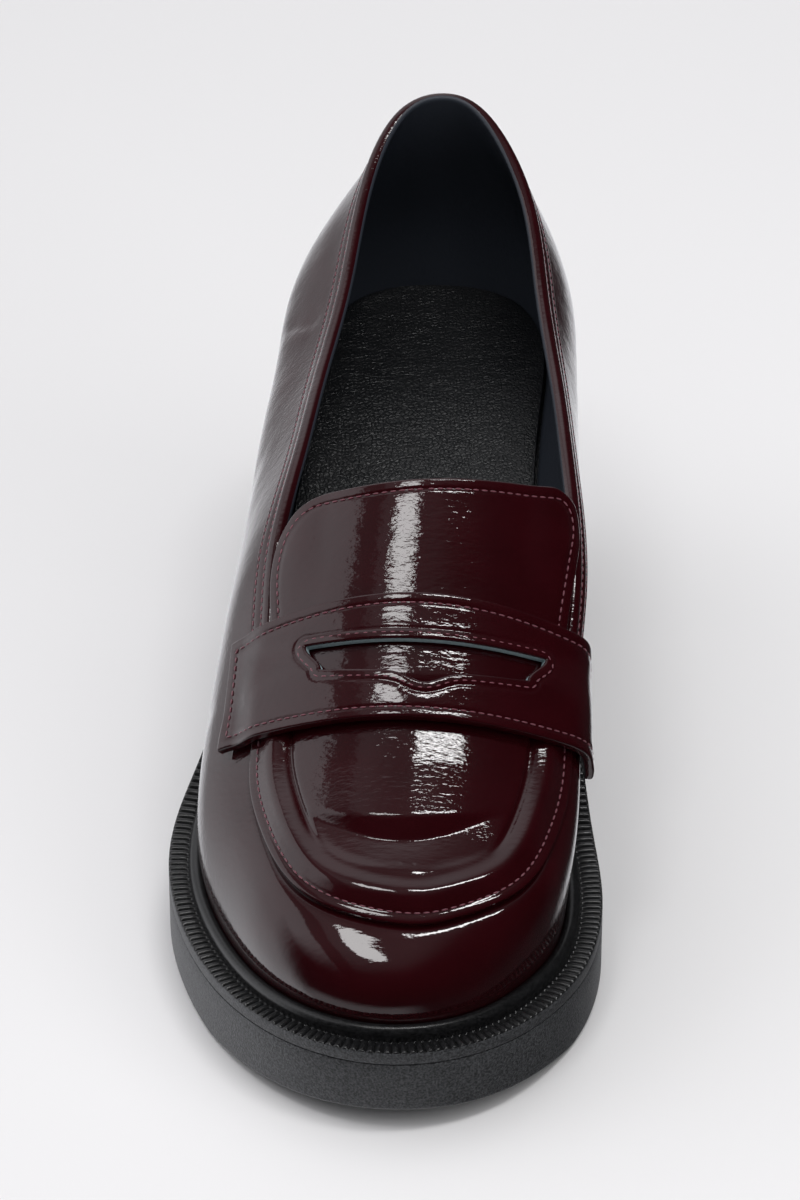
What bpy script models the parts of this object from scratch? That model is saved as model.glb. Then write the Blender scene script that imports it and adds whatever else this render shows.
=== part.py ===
"""A women's loafer pump: the right shoe of a pair, empty, standing on its sole.

A hollow upper with a raised apron, a tongue, a saddle strap with a slot, an insole, a ribbed welt,
a moulded outsole, and a block heel with its top lift. Run it with blender --background --python part.py.

Sizes are in millimetres. "along" runs from the back of the heel to the toe, "medial" and "lateral"
are distances either side of the heel's middle, and "up" is the height over the floor.
In the model the toe points to -Y, and the medial side, towards the other foot, is +X.
"""

import math
from collections import namedtuple

import bmesh
import bpy
import numpy as np

MM = 0.001

# Driving dimensions.
SHOE_LENGTH = 244.0  # outsole, back of the heel to the toe, seen from above
LENGTH_CENTRE = SHOE_LENGTH / 2
WIDTH_CENTRE = -4.0  # middle of the outsole's width, which lies lateral of the heel's middle
GAP = 0.3  # clearance between pieces that meet
WALL = 2.0  # upper leather with its lining
INSOLE_THICK = 3.5
WELT_THICK = 3.3
WELT_CLEAR = 0.5  # to the upper's wall, whose facets twist here
WIDEST_WELT = 8.2  # at the forefoot, where the sole stands out furthest
BEAD_RISE = 2.0  # smooth bead of the welt, over its ribbed band
BEAD_WIDTH = 3.2
BEAD_LEAST = 0.45  # share of its rise left where the welt is narrowest
SOLE_EDGE = 1.2  # rounding of the outsole's lower edge
INSOLE_CLEAR = 0.7  # to the inside of the upper's wall

THROAT = 176.0  # where the opening ends, under the strap
TONGUE_TOP = 135.0
TONGUE_BOW = 8.0  # how far the line of its top runs back towards both sides
TONGUE_SKEW = 2.4  # and further on the medial side
TONGUE_THICK = 1.6
TONGUE_LIFT = 0.5  # over the quarters' edges
TONGUE_SHORT = 1.4  # of the apron's edge, under the strap
TONGUE_REACH = 39.0  # over the skin, from its middle to each side edge
TONGUE_MIDDLE = -0.5
TONGUE_NARROWS = 9.0  # each side, down to the strap
TONGUE_CORNER = 8.5
TONGUE_FACETS = (13, 20)  # along and across
TONGUE_RISES_OVER = (0.4, 0.8)  # share of its length, from the strap, where its sides lift over the edges
TONGUE_RISES_AT = (22.0, 32.0)  # reach where they do
STRAP_FRONT = 183.0
STRAP_BACK = 157.2
STRAP_FRONT_BOW = 8.5  # how far each edge bows back, from the crest to the ends
STRAP_BACK_BOW = 5.0
STRAP_REACH = 48.0  # over the skin, from the crest to each end
STRAP_THICK = 2.0
STRAP_LOW = 0.2  # how far its ends stand over the skin
STRAP_HIGH = 1.9  # and its middle more than that, where it bridges the tongue
STRAP_OVER_APRON = 1.3  # and its front edge more again, over the apron's ridge
STRAP_OVER_TO = 0.45  # share of its width where that has gone
STRAP_EASES = 35.0  # reach where the middle starts to come down to the ends
SLOT_MIDDLE = 2.0
SLOT_BACK_REACH = 26.0  # half length of the slot's longer edge
SLOT_FRONT_REACH = 21.6
SLOT_FRONT = (0.375, 0.065)  # share of the strap's width at its middle, and how much more at its ends
SLOT_BACK = (0.63, 0.043)
SLOT_PEAK = 0.085  # a small point in the front edge, and its half width
SLOT_PEAK_HALF = 0.2
SLOT_COLUMNS = 17
STRAP_END_COLUMNS = 8
STRAP_BANDS = ((0.0, 0.12, 0.24), (0.76, 0.88, 1.0))  # shares of its width, either side of the slot

APRON_STEP = 1.3  # the apron's cut edge stands this much over the vamp
RIDGE_IN = 5.8  # from the apron's edge to the top of its ridge
RIDGE_RISE = 1.5
RIDGE_HALF = 1.7
CREASE_IN = 9.0
CREASE_DEPTH = 0.6
CREASE_HALF = 1.2
APRON_INSETS = (0.5, 3.2, RIDGE_IN, CREASE_IN, 11.0)  # rows of facets inside the apron's edge
APRON_MIDDLE = 30.0  # an inset past the crease, for the apron's smooth middle

HEEL_BREAST = 61.0
TOP_LIFT_THICK = 6.0
HEEL_TAPER = 0.9  # width of the heel's foot over its width at the seat
HEEL_BACK_RAKE = 5.0
HEEL_BREAST_RAKE = 5.0
HEEL_INSET = 0.8  # of the heel's seat, from the outsole's edge
LIFT_BEVEL = 0.8  # round the top lift's foot

COLUMNS = (26, 19)  # facets along each side, behind the throat and in front of it
WALL_ROWS = (0.0, 0.5, 1.0, 1.25, 1.5, 1.75, 1.88, 2.0)  # 0 feather, 1 girth, 2 top line

Feather = namedtuple("Feather", "place along medial lateral top under welt")
Girth = namedtuple("Girth", "place along medial lateral up")
TopLine = namedtuple("TopLine", "place along medial lateral up lean")
Crest = namedtuple("Crest", "along up across fall")

# Where the upper meets the sole. top and under are the outsole's faces, and welt is how far the
# sole stands out past the upper. An under below the floor means a flat, standing part.
FEATHER = (
    Feather("heel back", 3.6, 0.0, 0.0, 64.0, 58.5, 3.6),
    Feather("heel corner", 8.5, 19.0, 19.0, 63.7, 58.2, 3.6),
    Feather("heel side", 24.0, 27.5, 28.5, 62.5, 57.2, 3.6),
    Feather("breast", 50.0, 28.5, 30.5, 59.0, 53.6, 3.8),
    Feather("waist", 80.0, 28.0, 32.5, 49.5, 43.5, 4.2),
    Feather("arch", 110.0, 30.0, 36.5, 34.5, 27.0, 5.0),
    Feather("instep", 138.0, 32.5, 41.0, 20.0, 8.5, 6.8),
    Feather("ball", 160.0, 34.5, 44.8, 14.6, -1.2, 8.0),
    Feather("fore ball", 182.0, 36.9, 43.6, 14.1, -1.6, 8.2),
    Feather("toe side", 203.0, 34.7, 36.9, 14.5, -1.0, 8.2),
    Feather("toe corner", 219.5, 26.9, 27.2, 15.9, 1.8, 8.2),
    Feather("toe shoulder", 231.0, 15.3, 14.6, 17.3, 3.8, 8.2),
    Feather("toe tip", 235.8, -0.8, 0.8, 18.2, 5.3, 8.2),
)

# The widest line of the upper.
GIRTH = (
    Girth("heel back", 0.6, 0.3, -0.3, 85.0),
    Girth("heel corner", 6.5, 21.5, 22.0, 83.0),
    Girth("heel side", 24.0, 31.0, 33.0, 79.0),
    Girth("breast", 50.0, 34.5, 36.3, 74.5),
    Girth("waist", 80.0, 35.8, 38.3, 70.0),
    Girth("arch", 110.0, 36.8, 40.2, 63.0),
    Girth("instep", 138.0, 36.7, 42.8, 55.0),
    Girth("ball", 160.0, 37.0, 43.8, 47.0),
    Girth("fore ball", 182.0, 38.3, 43.7, 38.0),
    Girth("toe side", 203.5, 36.8, 37.9, 33.0),
    Girth("toe corner", 221.0, 28.2, 28.6, 30.0),
    Girth("toe shoulder", 232.6, 16.0, 15.4, 30.5),
    Girth("toe tip", 237.4, -0.8, 0.8, 31.0),
)

# The edge of the opening, which runs on as the apron's edge. lean is the wall's slope from upright,
# in degrees. Rows with no up and lean lie on the crown.
TOP_LINE = (
    TopLine("heel back", 6.0, 0.8, -0.8, 122.0, 6.0),
    TopLine("heel corner", 11.0, 11.5, 10.0, 119.0, 14.0),
    TopLine("heel side", 27.0, 20.2, 16.0, 111.0, 24.0),
    TopLine("breast", 53.0, 25.6, 19.5, 99.0, 28.0),
    TopLine("waist", 82.0, 30.2, 23.6, 91.5, 30.0),
    TopLine("arch", 111.0, 33.6, 26.6, 87.5, 38.0),
    TopLine("instep", 140.0, 35.8, 30.0, None, None),
    TopLine("ball", 160.0, 37.3, 32.4, None, None),
    TopLine("fore ball", 180.0, 37.0, 33.0, None, None),
    TopLine("toe side", 199.0, 34.4, 29.6, None, None),
    TopLine("toe corner", 214.5, 27.5, 22.0, None, None),
    TopLine("toe shoulder", 222.3, 15.6, 10.2, None, None),
    TopLine("toe tip", 224.8, 3.0, -3.0, None, None),
)

# The crown: its highest line, and how far it has fallen 30 mm to either side.
CREST = (
    Crest(110.0, 114.5, 3.5, 16.5),
    Crest(125.0, 104.0, 3.5, 15.0),
    Crest(136.0, 96.0, 3.3, 13.6),
    Crest(147.0, 88.0, 3.0, 12.4),
    Crest(158.0, 79.8, 2.8, 11.6),
    Crest(171.0, 71.2, 2.6, 11.0),
    Crest(184.0, 63.6, 2.5, 10.2),
    Crest(197.0, 57.0, 2.5, 8.8),
    Crest(208.0, 51.6, 2.6, 7.4),
    Crest(217.0, 46.8, 2.8, 6.2),
    Crest(225.0, 41.4, 3.0, 5.2),
    Crest(232.0, 35.8, 3.0, 4.6),
)
CREST_HALF = 30.0

# Profiles round the shoe. Each row is one loop.
OUTSOLE_PROFILE = (  # inset, share of the thickness from the underside, extra height
    (SOLE_EDGE, 0.0, 0.0),
    (0.2, 0.0, SOLE_EDGE),
    (0.0, 0.5, 0.0),
    (0.0, 1.0, -0.6),
    (0.5, 1.0, 0.0),
)
WELT_SIDE = ((0.4, 0.0), (0.0, 0.5), (0.0, WELT_THICK - 0.5), (0.4, WELT_THICK))  # inset, height
WELT_BEAD = ((1.0, 0.0), (0.85, 0.7), (0.45, 1.0), (0.12, 0.75), (0.0, 0.0))  # shares of width and rise
INSOLE_PROFILE = ((0.6, 0.0), (0.0, 0.6), (0.0, INSOLE_THICK - 0.8), (0.8, INSOLE_THICK))  # inset, height
JOINS_CROWN = (132.0, 146.0)  # over this stretch the opening's edge comes to lie on the crown
FOLLOWS_CROWN = (140.0, 178.0)  # and over this one the wall comes to run on into it
HIDDEN_LEAN = 55.0

COLOURS = {
    "patent_leather": ((0.045, 0.004, 0.008), 0.12),
    "sock_leather": ((0.012, 0.012, 0.014), 0.5),
    "sole_rubber": ((0.03, 0.03, 0.032), 0.55),
    "heel_plastic": ((0.024, 0.023, 0.025), 0.4),
    "lift_rubber": ((0.018, 0.018, 0.019), 0.6),
}


def spline(knots, values, closed=False):
    """A cubic spline through the values, smooth in its curvature. Returns a function of the knots' own measure."""
    knots = np.asarray(knots, float)
    values = np.asarray(values, float)
    values = values.reshape(len(values), -1)
    spans = np.diff(knots)
    count = len(spans)
    if not closed:
        system = np.eye(count + 1)
        right = np.zeros_like(values)
        for i in range(1, count):
            system[i, i - 1 : i + 2] = spans[i - 1], 2 * (spans[i - 1] + spans[i]), spans[i]
            right[i] = 6 * ((values[i + 1] - values[i]) / spans[i] - (values[i] - values[i - 1]) / spans[i - 1])
        bends = np.linalg.solve(system, right)
    else:
        system = np.zeros((count, count))
        right = np.zeros_like(values)
        for i in range(count):
            before, after = spans[i - 1], spans[i]
            system[i, i - 1] += before
            system[i, i] += 2 * (before + after)
            system[i, (i + 1) % count] += after
            ahead, behind = values[(i + 1) % count], values[i - 1]
            right[i] = 6 * ((ahead - values[i]) / after - (values[i] - behind) / before)
        bends = np.linalg.solve(system, right)
        bends = np.vstack([bends, bends[:1]])
        values = np.vstack([values, values[:1]])

    def at(where):
        where = np.atleast_1d(np.asarray(where, float))
        if closed:
            where = where % knots[-1]
        i = np.clip(np.searchsorted(knots, where, side="right") - 1, 0, count - 1)
        span = spans[i][:, None]
        rest, gone = (knots[i + 1] - where)[:, None], (where - knots[i])[:, None]
        curve = (bends[i] * rest**3 + bends[i + 1] * gone**3) / (6 * span)
        start = (values[i] / span - bends[i] * span / 6) * rest
        end = (values[i + 1] / span - bends[i + 1] * span / 6) * gone
        return curve + start + end

    return at


def around(rows, *columns):
    """Control values round the shoe: heel, medial side, toe, lateral side. across comes first, then the columns."""
    medial = [[row.medial, *(getattr(row, name) for name in columns)] for row in rows]
    lateral = [[-row.lateral, *(getattr(row, name) for name in columns)] for row in rows]
    return np.array(medial + lateral[-2:0:-1], float)


def smooth(low, high, value):
    """0 below low, 1 above high, and an even curve between."""
    share = np.clip((np.asarray(value, float) - low) / (high - low), 0, 1)
    return share * share * (3 - 2 * share)


def unit(vectors):
    return vectors / np.linalg.norm(vectors, axis=-1, keepdims=True)


crest_line = spline([row.along for row in CREST], [[row.up, row.across, row.fall] for row in CREST])


def crown(across, along):
    """Height of the crown, the smooth top of the last, over a point of the plan."""
    up, middle, fall = crest_line(along).T
    return up - fall * ((across - middle) / CREST_HALF) ** 2


def top_rows():
    """TOP_LINE with its blank heights and leans filled in from the crown."""
    rows = []
    for row in TOP_LINE:
        if row.up is None:
            up = crown(np.array([row.medial, -row.lateral]), np.array([row.along] * 2)).mean()
            row = row._replace(up=float(up), lean=HIDDEN_LEAN)
        rows.append(row)
    return rows


plan = around(FEATHER, "along")
LAP = np.concatenate([[0.0], np.cumsum(np.linalg.norm(np.diff(np.vstack([plan, plan[:1]]), axis=0), axis=1))])
SIDE_ROWS = len(FEATHER)
feather_line = spline(LAP, around(FEATHER, "along", "top", "under", "welt"), closed=True)
girth_line = spline(LAP, around(GIRTH, "along", "up"), closed=True)
top_line = spline(LAP, around(top_rows(), "along", "up", "lean"), closed=True)


def ring_places(columns):
    """Places round the shoe, as many on each side, so that the two sides pair up into cross sections.
    columns gives how many facets lie behind the throat and in front of it."""
    behind, ahead = columns
    toe = LAP[SIDE_ROWS - 1]
    sides = []
    for heel in (0.0, LAP[-1]):
        fine = np.linspace(heel, toe, 500)
        throat = np.interp(THROAT, top_line(fine)[:, 1], fine)
        sides.append(np.r_[np.linspace(heel, throat, behind + 1), np.linspace(throat, toe, ahead + 1)[1:]])
    medial, lateral = sides
    return np.concatenate([medial, lateral[-2:0:-1]])


def plan_normals(points):
    """Unit vectors in plan that point out of a closed ring of points."""
    run = np.roll(points[:, :2], -1, axis=0) - np.roll(points[:, :2], 1, axis=0)
    return unit(np.stack([run[:, 1], -run[:, 0]], axis=1))


def ring(columns):
    """Everything that a cross section needs, for each column round the shoe. Points are across, along, up."""
    places = ring_places(columns)
    feather = feather_line(places)
    girth = girth_line(places)
    top = top_line(places)
    crowned = smooth(*JOINS_CROWN, top[:, 1])
    top[:, 2] += crowned * (crown(top[:, 0], top[:, 1]) - top[:, 2])
    inward = -plan_normals(top)
    rise = crown(top[:, 0] + inward[:, 0], top[:, 1] + inward[:, 1]) - crown(top[:, 0], top[:, 1])
    lean = np.radians(top[:, 3])
    leaning = np.column_stack([inward * np.sin(lean)[:, None], np.cos(lean)])
    along_crown = unit(np.column_stack([inward, rise]))
    blend = smooth(*FOLLOWS_CROWN, top[:, 1])[:, None]
    return {
        "foot": feather[:, :3] + [0, 0, GAP],
        "sole": feather[:, :3],
        "under": np.maximum(feather[:, 3], 0.0),
        "welt": feather[:, 4],
        "out": plan_normals(feather),
        "girth": girth,
        "top": top[:, :3],
        "top_in": inward,
        "top_run": unit(leaning * (1 - blend) + along_crown * blend),
    }


def wall_points(section, height):
    """A ring of the upper's outer face. height is 0 at the feather, 1 at the girth and 2 at the top line."""
    foot, girth, top = section["foot"], section["girth"], section["top"]
    low = np.linalg.norm(girth - foot, axis=1, keepdims=True)
    high = np.linalg.norm(top - girth, axis=1, keepdims=True)
    low_run, high_run = (girth - foot) / low, (top - girth) / high
    end = section["top_run"]
    total = 3 * (low * high_run + high * low_run) - low * end - 1.5 * high * low_run
    middle = total / (2 * low + 1.5 * high)
    start = (3 * low_run - middle) / 2
    if height <= 1:
        a, b, first, last, span, t = foot, girth, start, middle, low, height
    else:
        a, b, first, last, span, t = girth, top, middle, end, high, height - 1
    t2, t3 = t * t, t * t * t
    ends = (2 * t3 - 3 * t2 + 1) * a + (3 * t2 - 2 * t3) * b
    return ends + span * ((t3 - 2 * t2 + t) * first + (t3 - t2) * last)


def on_crown(points):
    """The same plan points, moved up or down to the crown."""
    return np.column_stack([points[:, 0], points[:, 1], crown(points[:, 0], points[:, 1])])


def skin_maker(columns=(72, 48), rows=18):
    """A function of (along, reach) for the outside of the last: reach is measured over the skin from the crest,
    positive towards the medial side. The strap and the tongue are laid out on it."""
    section = ring(columns)
    count = 2 * sum(columns)
    walls = [wall_points(section, height) for height in np.linspace(2, 0.4, rows)]
    medial, lateral = slice(0, count // 2 + 1), [0, *range(count - 1, count // 2 - 1, -1)]

    def column(side, along):
        stations = section["top"][side][:, 1]
        return [
            np.array([np.interp(along, stations, wall[side][:, axis]) for axis in range(3)]) for wall in walls
        ]

    def point(along, reach):
        side = medial if reach >= 0 else lateral
        down = column(side, along)
        middle = crest_line(along)[0, 1]
        across = np.linspace(middle, down[0][0], rows + 1)[:-1]
        path = np.vstack([on_crown(np.column_stack([across, np.full(rows, down[0][1])])), down])
        gone = np.concatenate([[0], np.cumsum(np.linalg.norm(np.diff(path, axis=0), axis=1))])
        return np.array([np.interp(abs(reach), gone, path[:, axis]) for axis in range(3)])

    return point


def lifted(point, along, reach, lift):
    """A point over the skin by lift, square to it."""
    step = 2.0
    ahead = point(along + step, reach) - point(along - step, reach)
    aside = point(along, reach + step) - point(along, reach - step)
    return point(along, reach) + lift * unit(np.cross(aside, ahead))


def model_points(points):
    """Shoe measures in millimetres to model places in metres."""
    points = np.asarray(points, float)
    return np.stack(
        [
            (points[..., 0] - WIDTH_CENTRE) * MM,
            (LENGTH_CENTRE - points[..., 1]) * MM,
            points[..., 2] * MM,
        ],
        axis=-1,
    )


def material(name):
    made = bpy.data.materials.get(name)
    if made:
        return made
    colour, roughness = COLOURS[name]
    made = bpy.data.materials.new(name)
    made.use_nodes = True
    made.diffuse_color = (*colour, 1)
    shader = made.node_tree.nodes["Principled BSDF"]
    shader.inputs["Base Color"].default_value = (*colour, 1)
    shader.inputs["Roughness"].default_value = roughness
    shader.inputs["Metallic"].default_value = 0.0
    return made


def piece(name, points, faces, finish):
    """An object of this name from points in shoe measures, facing outwards."""
    mesh = bpy.data.meshes.new(name)
    mesh.from_pydata(model_points(points).tolist(), [], faces)
    shaped = bmesh.new()
    shaped.from_mesh(mesh)
    bmesh.ops.remove_doubles(shaped, verts=shaped.verts, dist=0.00001)
    bmesh.ops.recalc_face_normals(shaped, faces=shaped.faces)
    if shaped.calc_volume(signed=True) < 0:
        bmesh.ops.reverse_faces(shaped, faces=shaped.faces)
    shaped.to_mesh(mesh)
    shaped.free()
    mesh.shade_smooth()
    mesh.set_sharp_from_angle(angle=math.radians(40))
    mesh.materials.append(material(finish))
    made = bpy.data.objects.new(name, mesh)
    bpy.context.scene.collection.objects.link(made)
    made.parent = bpy.data.objects["shoe"]
    return made


def skinned(loops, close_around=True):
    """Points and faces of a skin over loops of equal length."""
    count = len(loops[0])
    points = np.vstack(loops)
    faces = []
    for low in range(len(loops) - 1):
        for i in range(count if close_around else count - 1):
            j = (i + 1) % count
            faces.append((low * count + i, low * count + j, (low + 1) * count + j, (low + 1) * count + i))
    return points, faces


def ladder(count, first):
    """Faces that close a loop of points by pairing its medial and lateral sides. first is the loop's first point."""
    half = count // 2
    faces = []
    for i in range(half):
        quad = [first + i, first + i + 1, first + count - i - 1, first + (count - i) % count]
        faces.append(tuple(dict.fromkeys(quad)))
    return faces


def slab(name, loops, finish):
    """A closed solid from loops stacked upwards, with its first and last loops capped."""
    count = len(loops[0])
    points, faces = skinned(loops)
    faces += ladder(count, 0) + ladder(count, (len(loops) - 1) * count)
    return piece(name, points, faces, finish)


def shell(name, points, faces, raised, thick, finish):
    """A wall: a surface raised by so much on its outside, with an inner face at the given depth, joined at its rims."""
    sheet = bmesh.new()
    for place in np.asarray(points, float):
        sheet.verts.new(place)
    sheet.verts.ensure_lookup_table()
    for face in faces:
        sheet.faces.new([sheet.verts[i] for i in face])
    sheet.normal_update()
    sheet.verts.index_update()
    square = np.array([vertex.normal for vertex in sheet.verts])
    rims = [tuple(v.index for v in edge.verts) for edge in sheet.edges if edge.is_boundary]
    sheet.free()
    count = len(points)
    outer = points + square * np.asarray(raised, float)[:, None]
    inner = points - square * thick
    skins = [tuple(face) for face in faces] + [tuple(i + count for i in reversed(face)) for face in faces]
    skins += [(a, b, b + count, a + count) for a, b in rims]
    return piece(name, np.vstack([outer, inner]), skins, finish)


def apron_rise(inset, along):
    """How far the apron stands over the crown: a cut edge, a rolled ridge and a crease inside it."""
    ridge = RIDGE_RISE * np.exp(-(((inset - RIDGE_IN) / RIDGE_HALF) ** 2))
    crease = CREASE_DEPTH * np.exp(-(((inset - CREASE_IN) / CREASE_HALF) ** 2))
    shows = smooth(THROAT - 2, STRAP_FRONT + 3, along)
    return smooth(0.0, APRON_INSETS[0], inset) * (APRON_STEP + (ridge - crease) * shows)


def upper_surface(columns, wall_rows, insets, across):
    """The upper's skin: the wall round the shoe and the apron that closes it over the toes.
    Returns points, faces and how far each point is raised."""
    section = ring(columns)
    count = 2 * sum(columns)
    points, faces = skinned([wall_points(section, height) for height in wall_rows])
    raised = np.zeros(len(points))
    cover = np.arange(columns[0], count - columns[0] + 1)
    edge = section["top"][cover]
    inward = section["top_in"][cover]
    loop = np.arange(len(points) - count, len(points))[cover]
    for inset in insets:
        placed = edge.copy()
        placed[:, :2] += inward * inset
        placed = on_crown(placed)
        start = len(points)
        points = np.vstack([points, placed])
        raised = np.concatenate([raised, apron_rise(np.full(len(cover), inset), placed[:, 1])])
        new = np.arange(start, start + len(cover))
        faces += [(loop[i], loop[i + 1], new[i + 1], new[i]) for i in range(len(cover) - 1)]
        loop = new
    half = len(cover) // 2
    rung = None
    for i in range(half):
        ends = points[loop[i]], points[loop[-1 - i]]
        share = np.linspace(0, 1, across + 1)[1:-1, None]
        between = on_crown(ends[0] * (1 - share) + ends[1] * share)
        start = len(points)
        points = np.vstack([points, between])
        raised = np.concatenate([raised, apron_rise(np.full(len(between), APRON_MIDDLE), between[:, 1])])
        new = [loop[i], *range(start, start + len(between)), loop[-1 - i]]
        if rung is not None:
            faces += [(rung[j], new[j], new[j + 1], rung[j + 1]) for j in range(across)]
        rung = new
    tip = loop[half]
    faces += [(rung[j], tip, rung[j + 1]) for j in range(across)]
    return points, faces, raised


def make_upper():
    points, faces, raised = upper_surface(COLUMNS, WALL_ROWS, APRON_INSETS, 8)
    shell("upper", points, faces, raised, WALL, "patent_leather")


def sole_loops(section, insets_and_heights):
    """Loops round the sole's edge. Each entry is (inset, share of the thickness, extra height)."""
    edge = section["sole"].copy()
    edge[:, :2] += section["out"] * section["welt"][:, None]
    loops = []
    for inset, share, extra in insets_and_heights:
        loop = edge.copy()
        loop[:, :2] -= section["out"] * inset
        loop[:, 2] = section["under"] * (1 - share) + section["sole"][:, 2] * share + extra
        loops.append(loop)
    return loops


def make_outsole():
    section = ring(COLUMNS)
    slab("outsole", sole_loops(section, OUTSOLE_PROFILE), "sole_rubber")


def wall_foot(section, height):
    """Points of the upper's outer face at a height over its foot, on its lowest row of facets."""
    foot, row = wall_points(section, WALL_ROWS[0]), wall_points(section, WALL_ROWS[1])
    share = height / (row[:, 2] - foot[:, 2])
    return foot + (row - foot) * share[:, None]


def welt_profile(section):
    """Loops of the welt's closed cross section: outer side, ribbed band, bead, and the face against the upper."""
    floor = section["sole"][:, 2] + GAP
    edge = section["sole"][:, :2] + section["out"] * section["welt"][:, None]
    share = section["welt"] / WIDEST_WELT
    bead = BEAD_RISE * (BEAD_LEAST + (1 - BEAD_LEAST) * share)
    loops = []
    for inset, height in WELT_SIDE:
        flat = edge - section["out"] * (inset * share)[:, None]
        loops.append(np.column_stack([flat, floor + height]))
    inner = [(clear, WELT_THICK + rise * bead) for clear, rise in WELT_BEAD]
    for clear, height in (*inner, (0.0, np.zeros_like(bead))):
        wall = wall_foot(section, height)[:, :2]
        flat = wall + section["out"] * (clear * BEAD_WIDTH * share + WELT_CLEAR)[:, None]
        loops.append(np.column_stack([flat, floor + height]))
    return loops


def make_welt():
    loops = welt_profile(ring(COLUMNS))
    points, faces = skinned(loops + loops[:1])
    piece("welt", points, faces, "sole_rubber")


def make_insole():
    section = ring(COLUMNS)
    loops = []
    for inset, height in INSOLE_PROFILE:
        loop = section["foot"].copy()
        loop[:, :2] -= section["out"] * (WALL + INSOLE_CLEAR + inset)
        loop[:, 2] += height
        loops.append(loop)
    slab("insole", loops, "sock_leather")


def heel_outline(section):
    """The heel's plan at the seat, as a closed loop: the sole's edge back from the breast."""
    edge = sole_loops(section, ((HEEL_INSET, 0, 0),))[0]
    half = len(edge) // 2
    last = int(np.argmax(edge[: half + 1, 1] > HEEL_BREAST)) - 1
    medial, lateral = edge[: last + 1], edge[: -last - 1 : -1]
    return np.vstack([medial, lateral[::-1]])


def heel_loops(section, shares):
    """Loops of the heel between its foot at share 0 and the seat at share 1."""
    seat = heel_outline(section)
    depth = seat[:, 1].max()
    loops = []
    for share in shares:
        loop = seat.copy()
        narrow = HEEL_TAPER + (1 - HEEL_TAPER) * share**1.6
        front = depth - HEEL_BREAST_RAKE * (1 - share)
        back = HEEL_BACK_RAKE * (1 - share) ** 1.3
        loop[:, 0] *= narrow
        loop[:, 1] = back + seat[:, 1] / depth * (front - back)
        loop[:, 2] = TOP_LIFT_THICK + GAP + share * (seat[:, 2] - 2 * GAP - TOP_LIFT_THICK)
        loops.append(loop)
    return loops


def make_heel():
    section = ring(COLUMNS)
    slab("heel_block", heel_loops(section, (0, 0.25, 0.5, 0.75, 1.0)), "heel_plastic")
    foot = heel_loops(section, (0,))[0]
    foot[:, 2] = TOP_LIFT_THICK
    low = foot.copy()
    low[:, 2] = LIFT_BEVEL
    floor = foot.copy()
    middle = foot[:, :2].mean(axis=0)
    floor[:, :2] += unit(middle - foot[:, :2]) * LIFT_BEVEL
    floor[:, 2] = 0.0
    slab("top_lift", [floor, low, foot], "lift_rubber")


def tongue_points(point):
    """A sheet on the skin, from under the strap back to a rounded end. Returns a grid of points."""
    front = THROAT - TONGUE_SHORT
    grid = []
    for turn in np.linspace(0, math.pi / 2, TONGUE_FACETS[0] + 1):
        up = math.sin(turn)
        cut = max(0.0, TONGUE_CORNER - (1 - up) * (front - TONGUE_TOP))
        half = TONGUE_REACH - TONGUE_CORNER + math.sqrt(TONGUE_CORNER**2 - cut**2)
        half -= TONGUE_NARROWS * (1 - up)
        row = []
        for share in np.linspace(1, -1, TONGUE_FACETS[1] + 1):
            reach = TONGUE_MIDDLE + share * half
            side = reach / TONGUE_REACH
            top = TONGUE_TOP - TONGUE_BOW * side**2 - TONGUE_SKEW * side
            over = TONGUE_LIFT * smooth(*TONGUE_RISES_OVER, up) * smooth(*TONGUE_RISES_AT, abs(reach))
            row.append(lifted(point, front + up * (top - front), reach, GAP + over))
        grid.append(row)
    return np.array(grid)


def sheet_faces(rows, across):
    return [
        (r * across + c, r * across + c + 1, (r + 1) * across + c + 1, (r + 1) * across + c)
        for r in range(rows - 1)
        for c in range(across - 1)
    ]


def make_tongue(point):
    grid = tongue_points(point)
    rows, across = grid.shape[:2]
    faces = sheet_faces(rows, across)
    shell("tongue", grid.reshape(-1, 3), faces, np.full(rows * across, TONGUE_THICK), 0.0, "patent_leather")


def slot_edges(share):
    """(front, back) of the slot across the strap's width, as shares of it. share is -1 to 1 along the slot."""
    front = SLOT_FRONT[0] + SLOT_FRONT[1] * share**2
    back = SLOT_BACK[0] + SLOT_BACK[1] * share**2
    return front - SLOT_PEAK * math.exp(-((share / SLOT_PEAK_HALF) ** 2)), back


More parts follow.
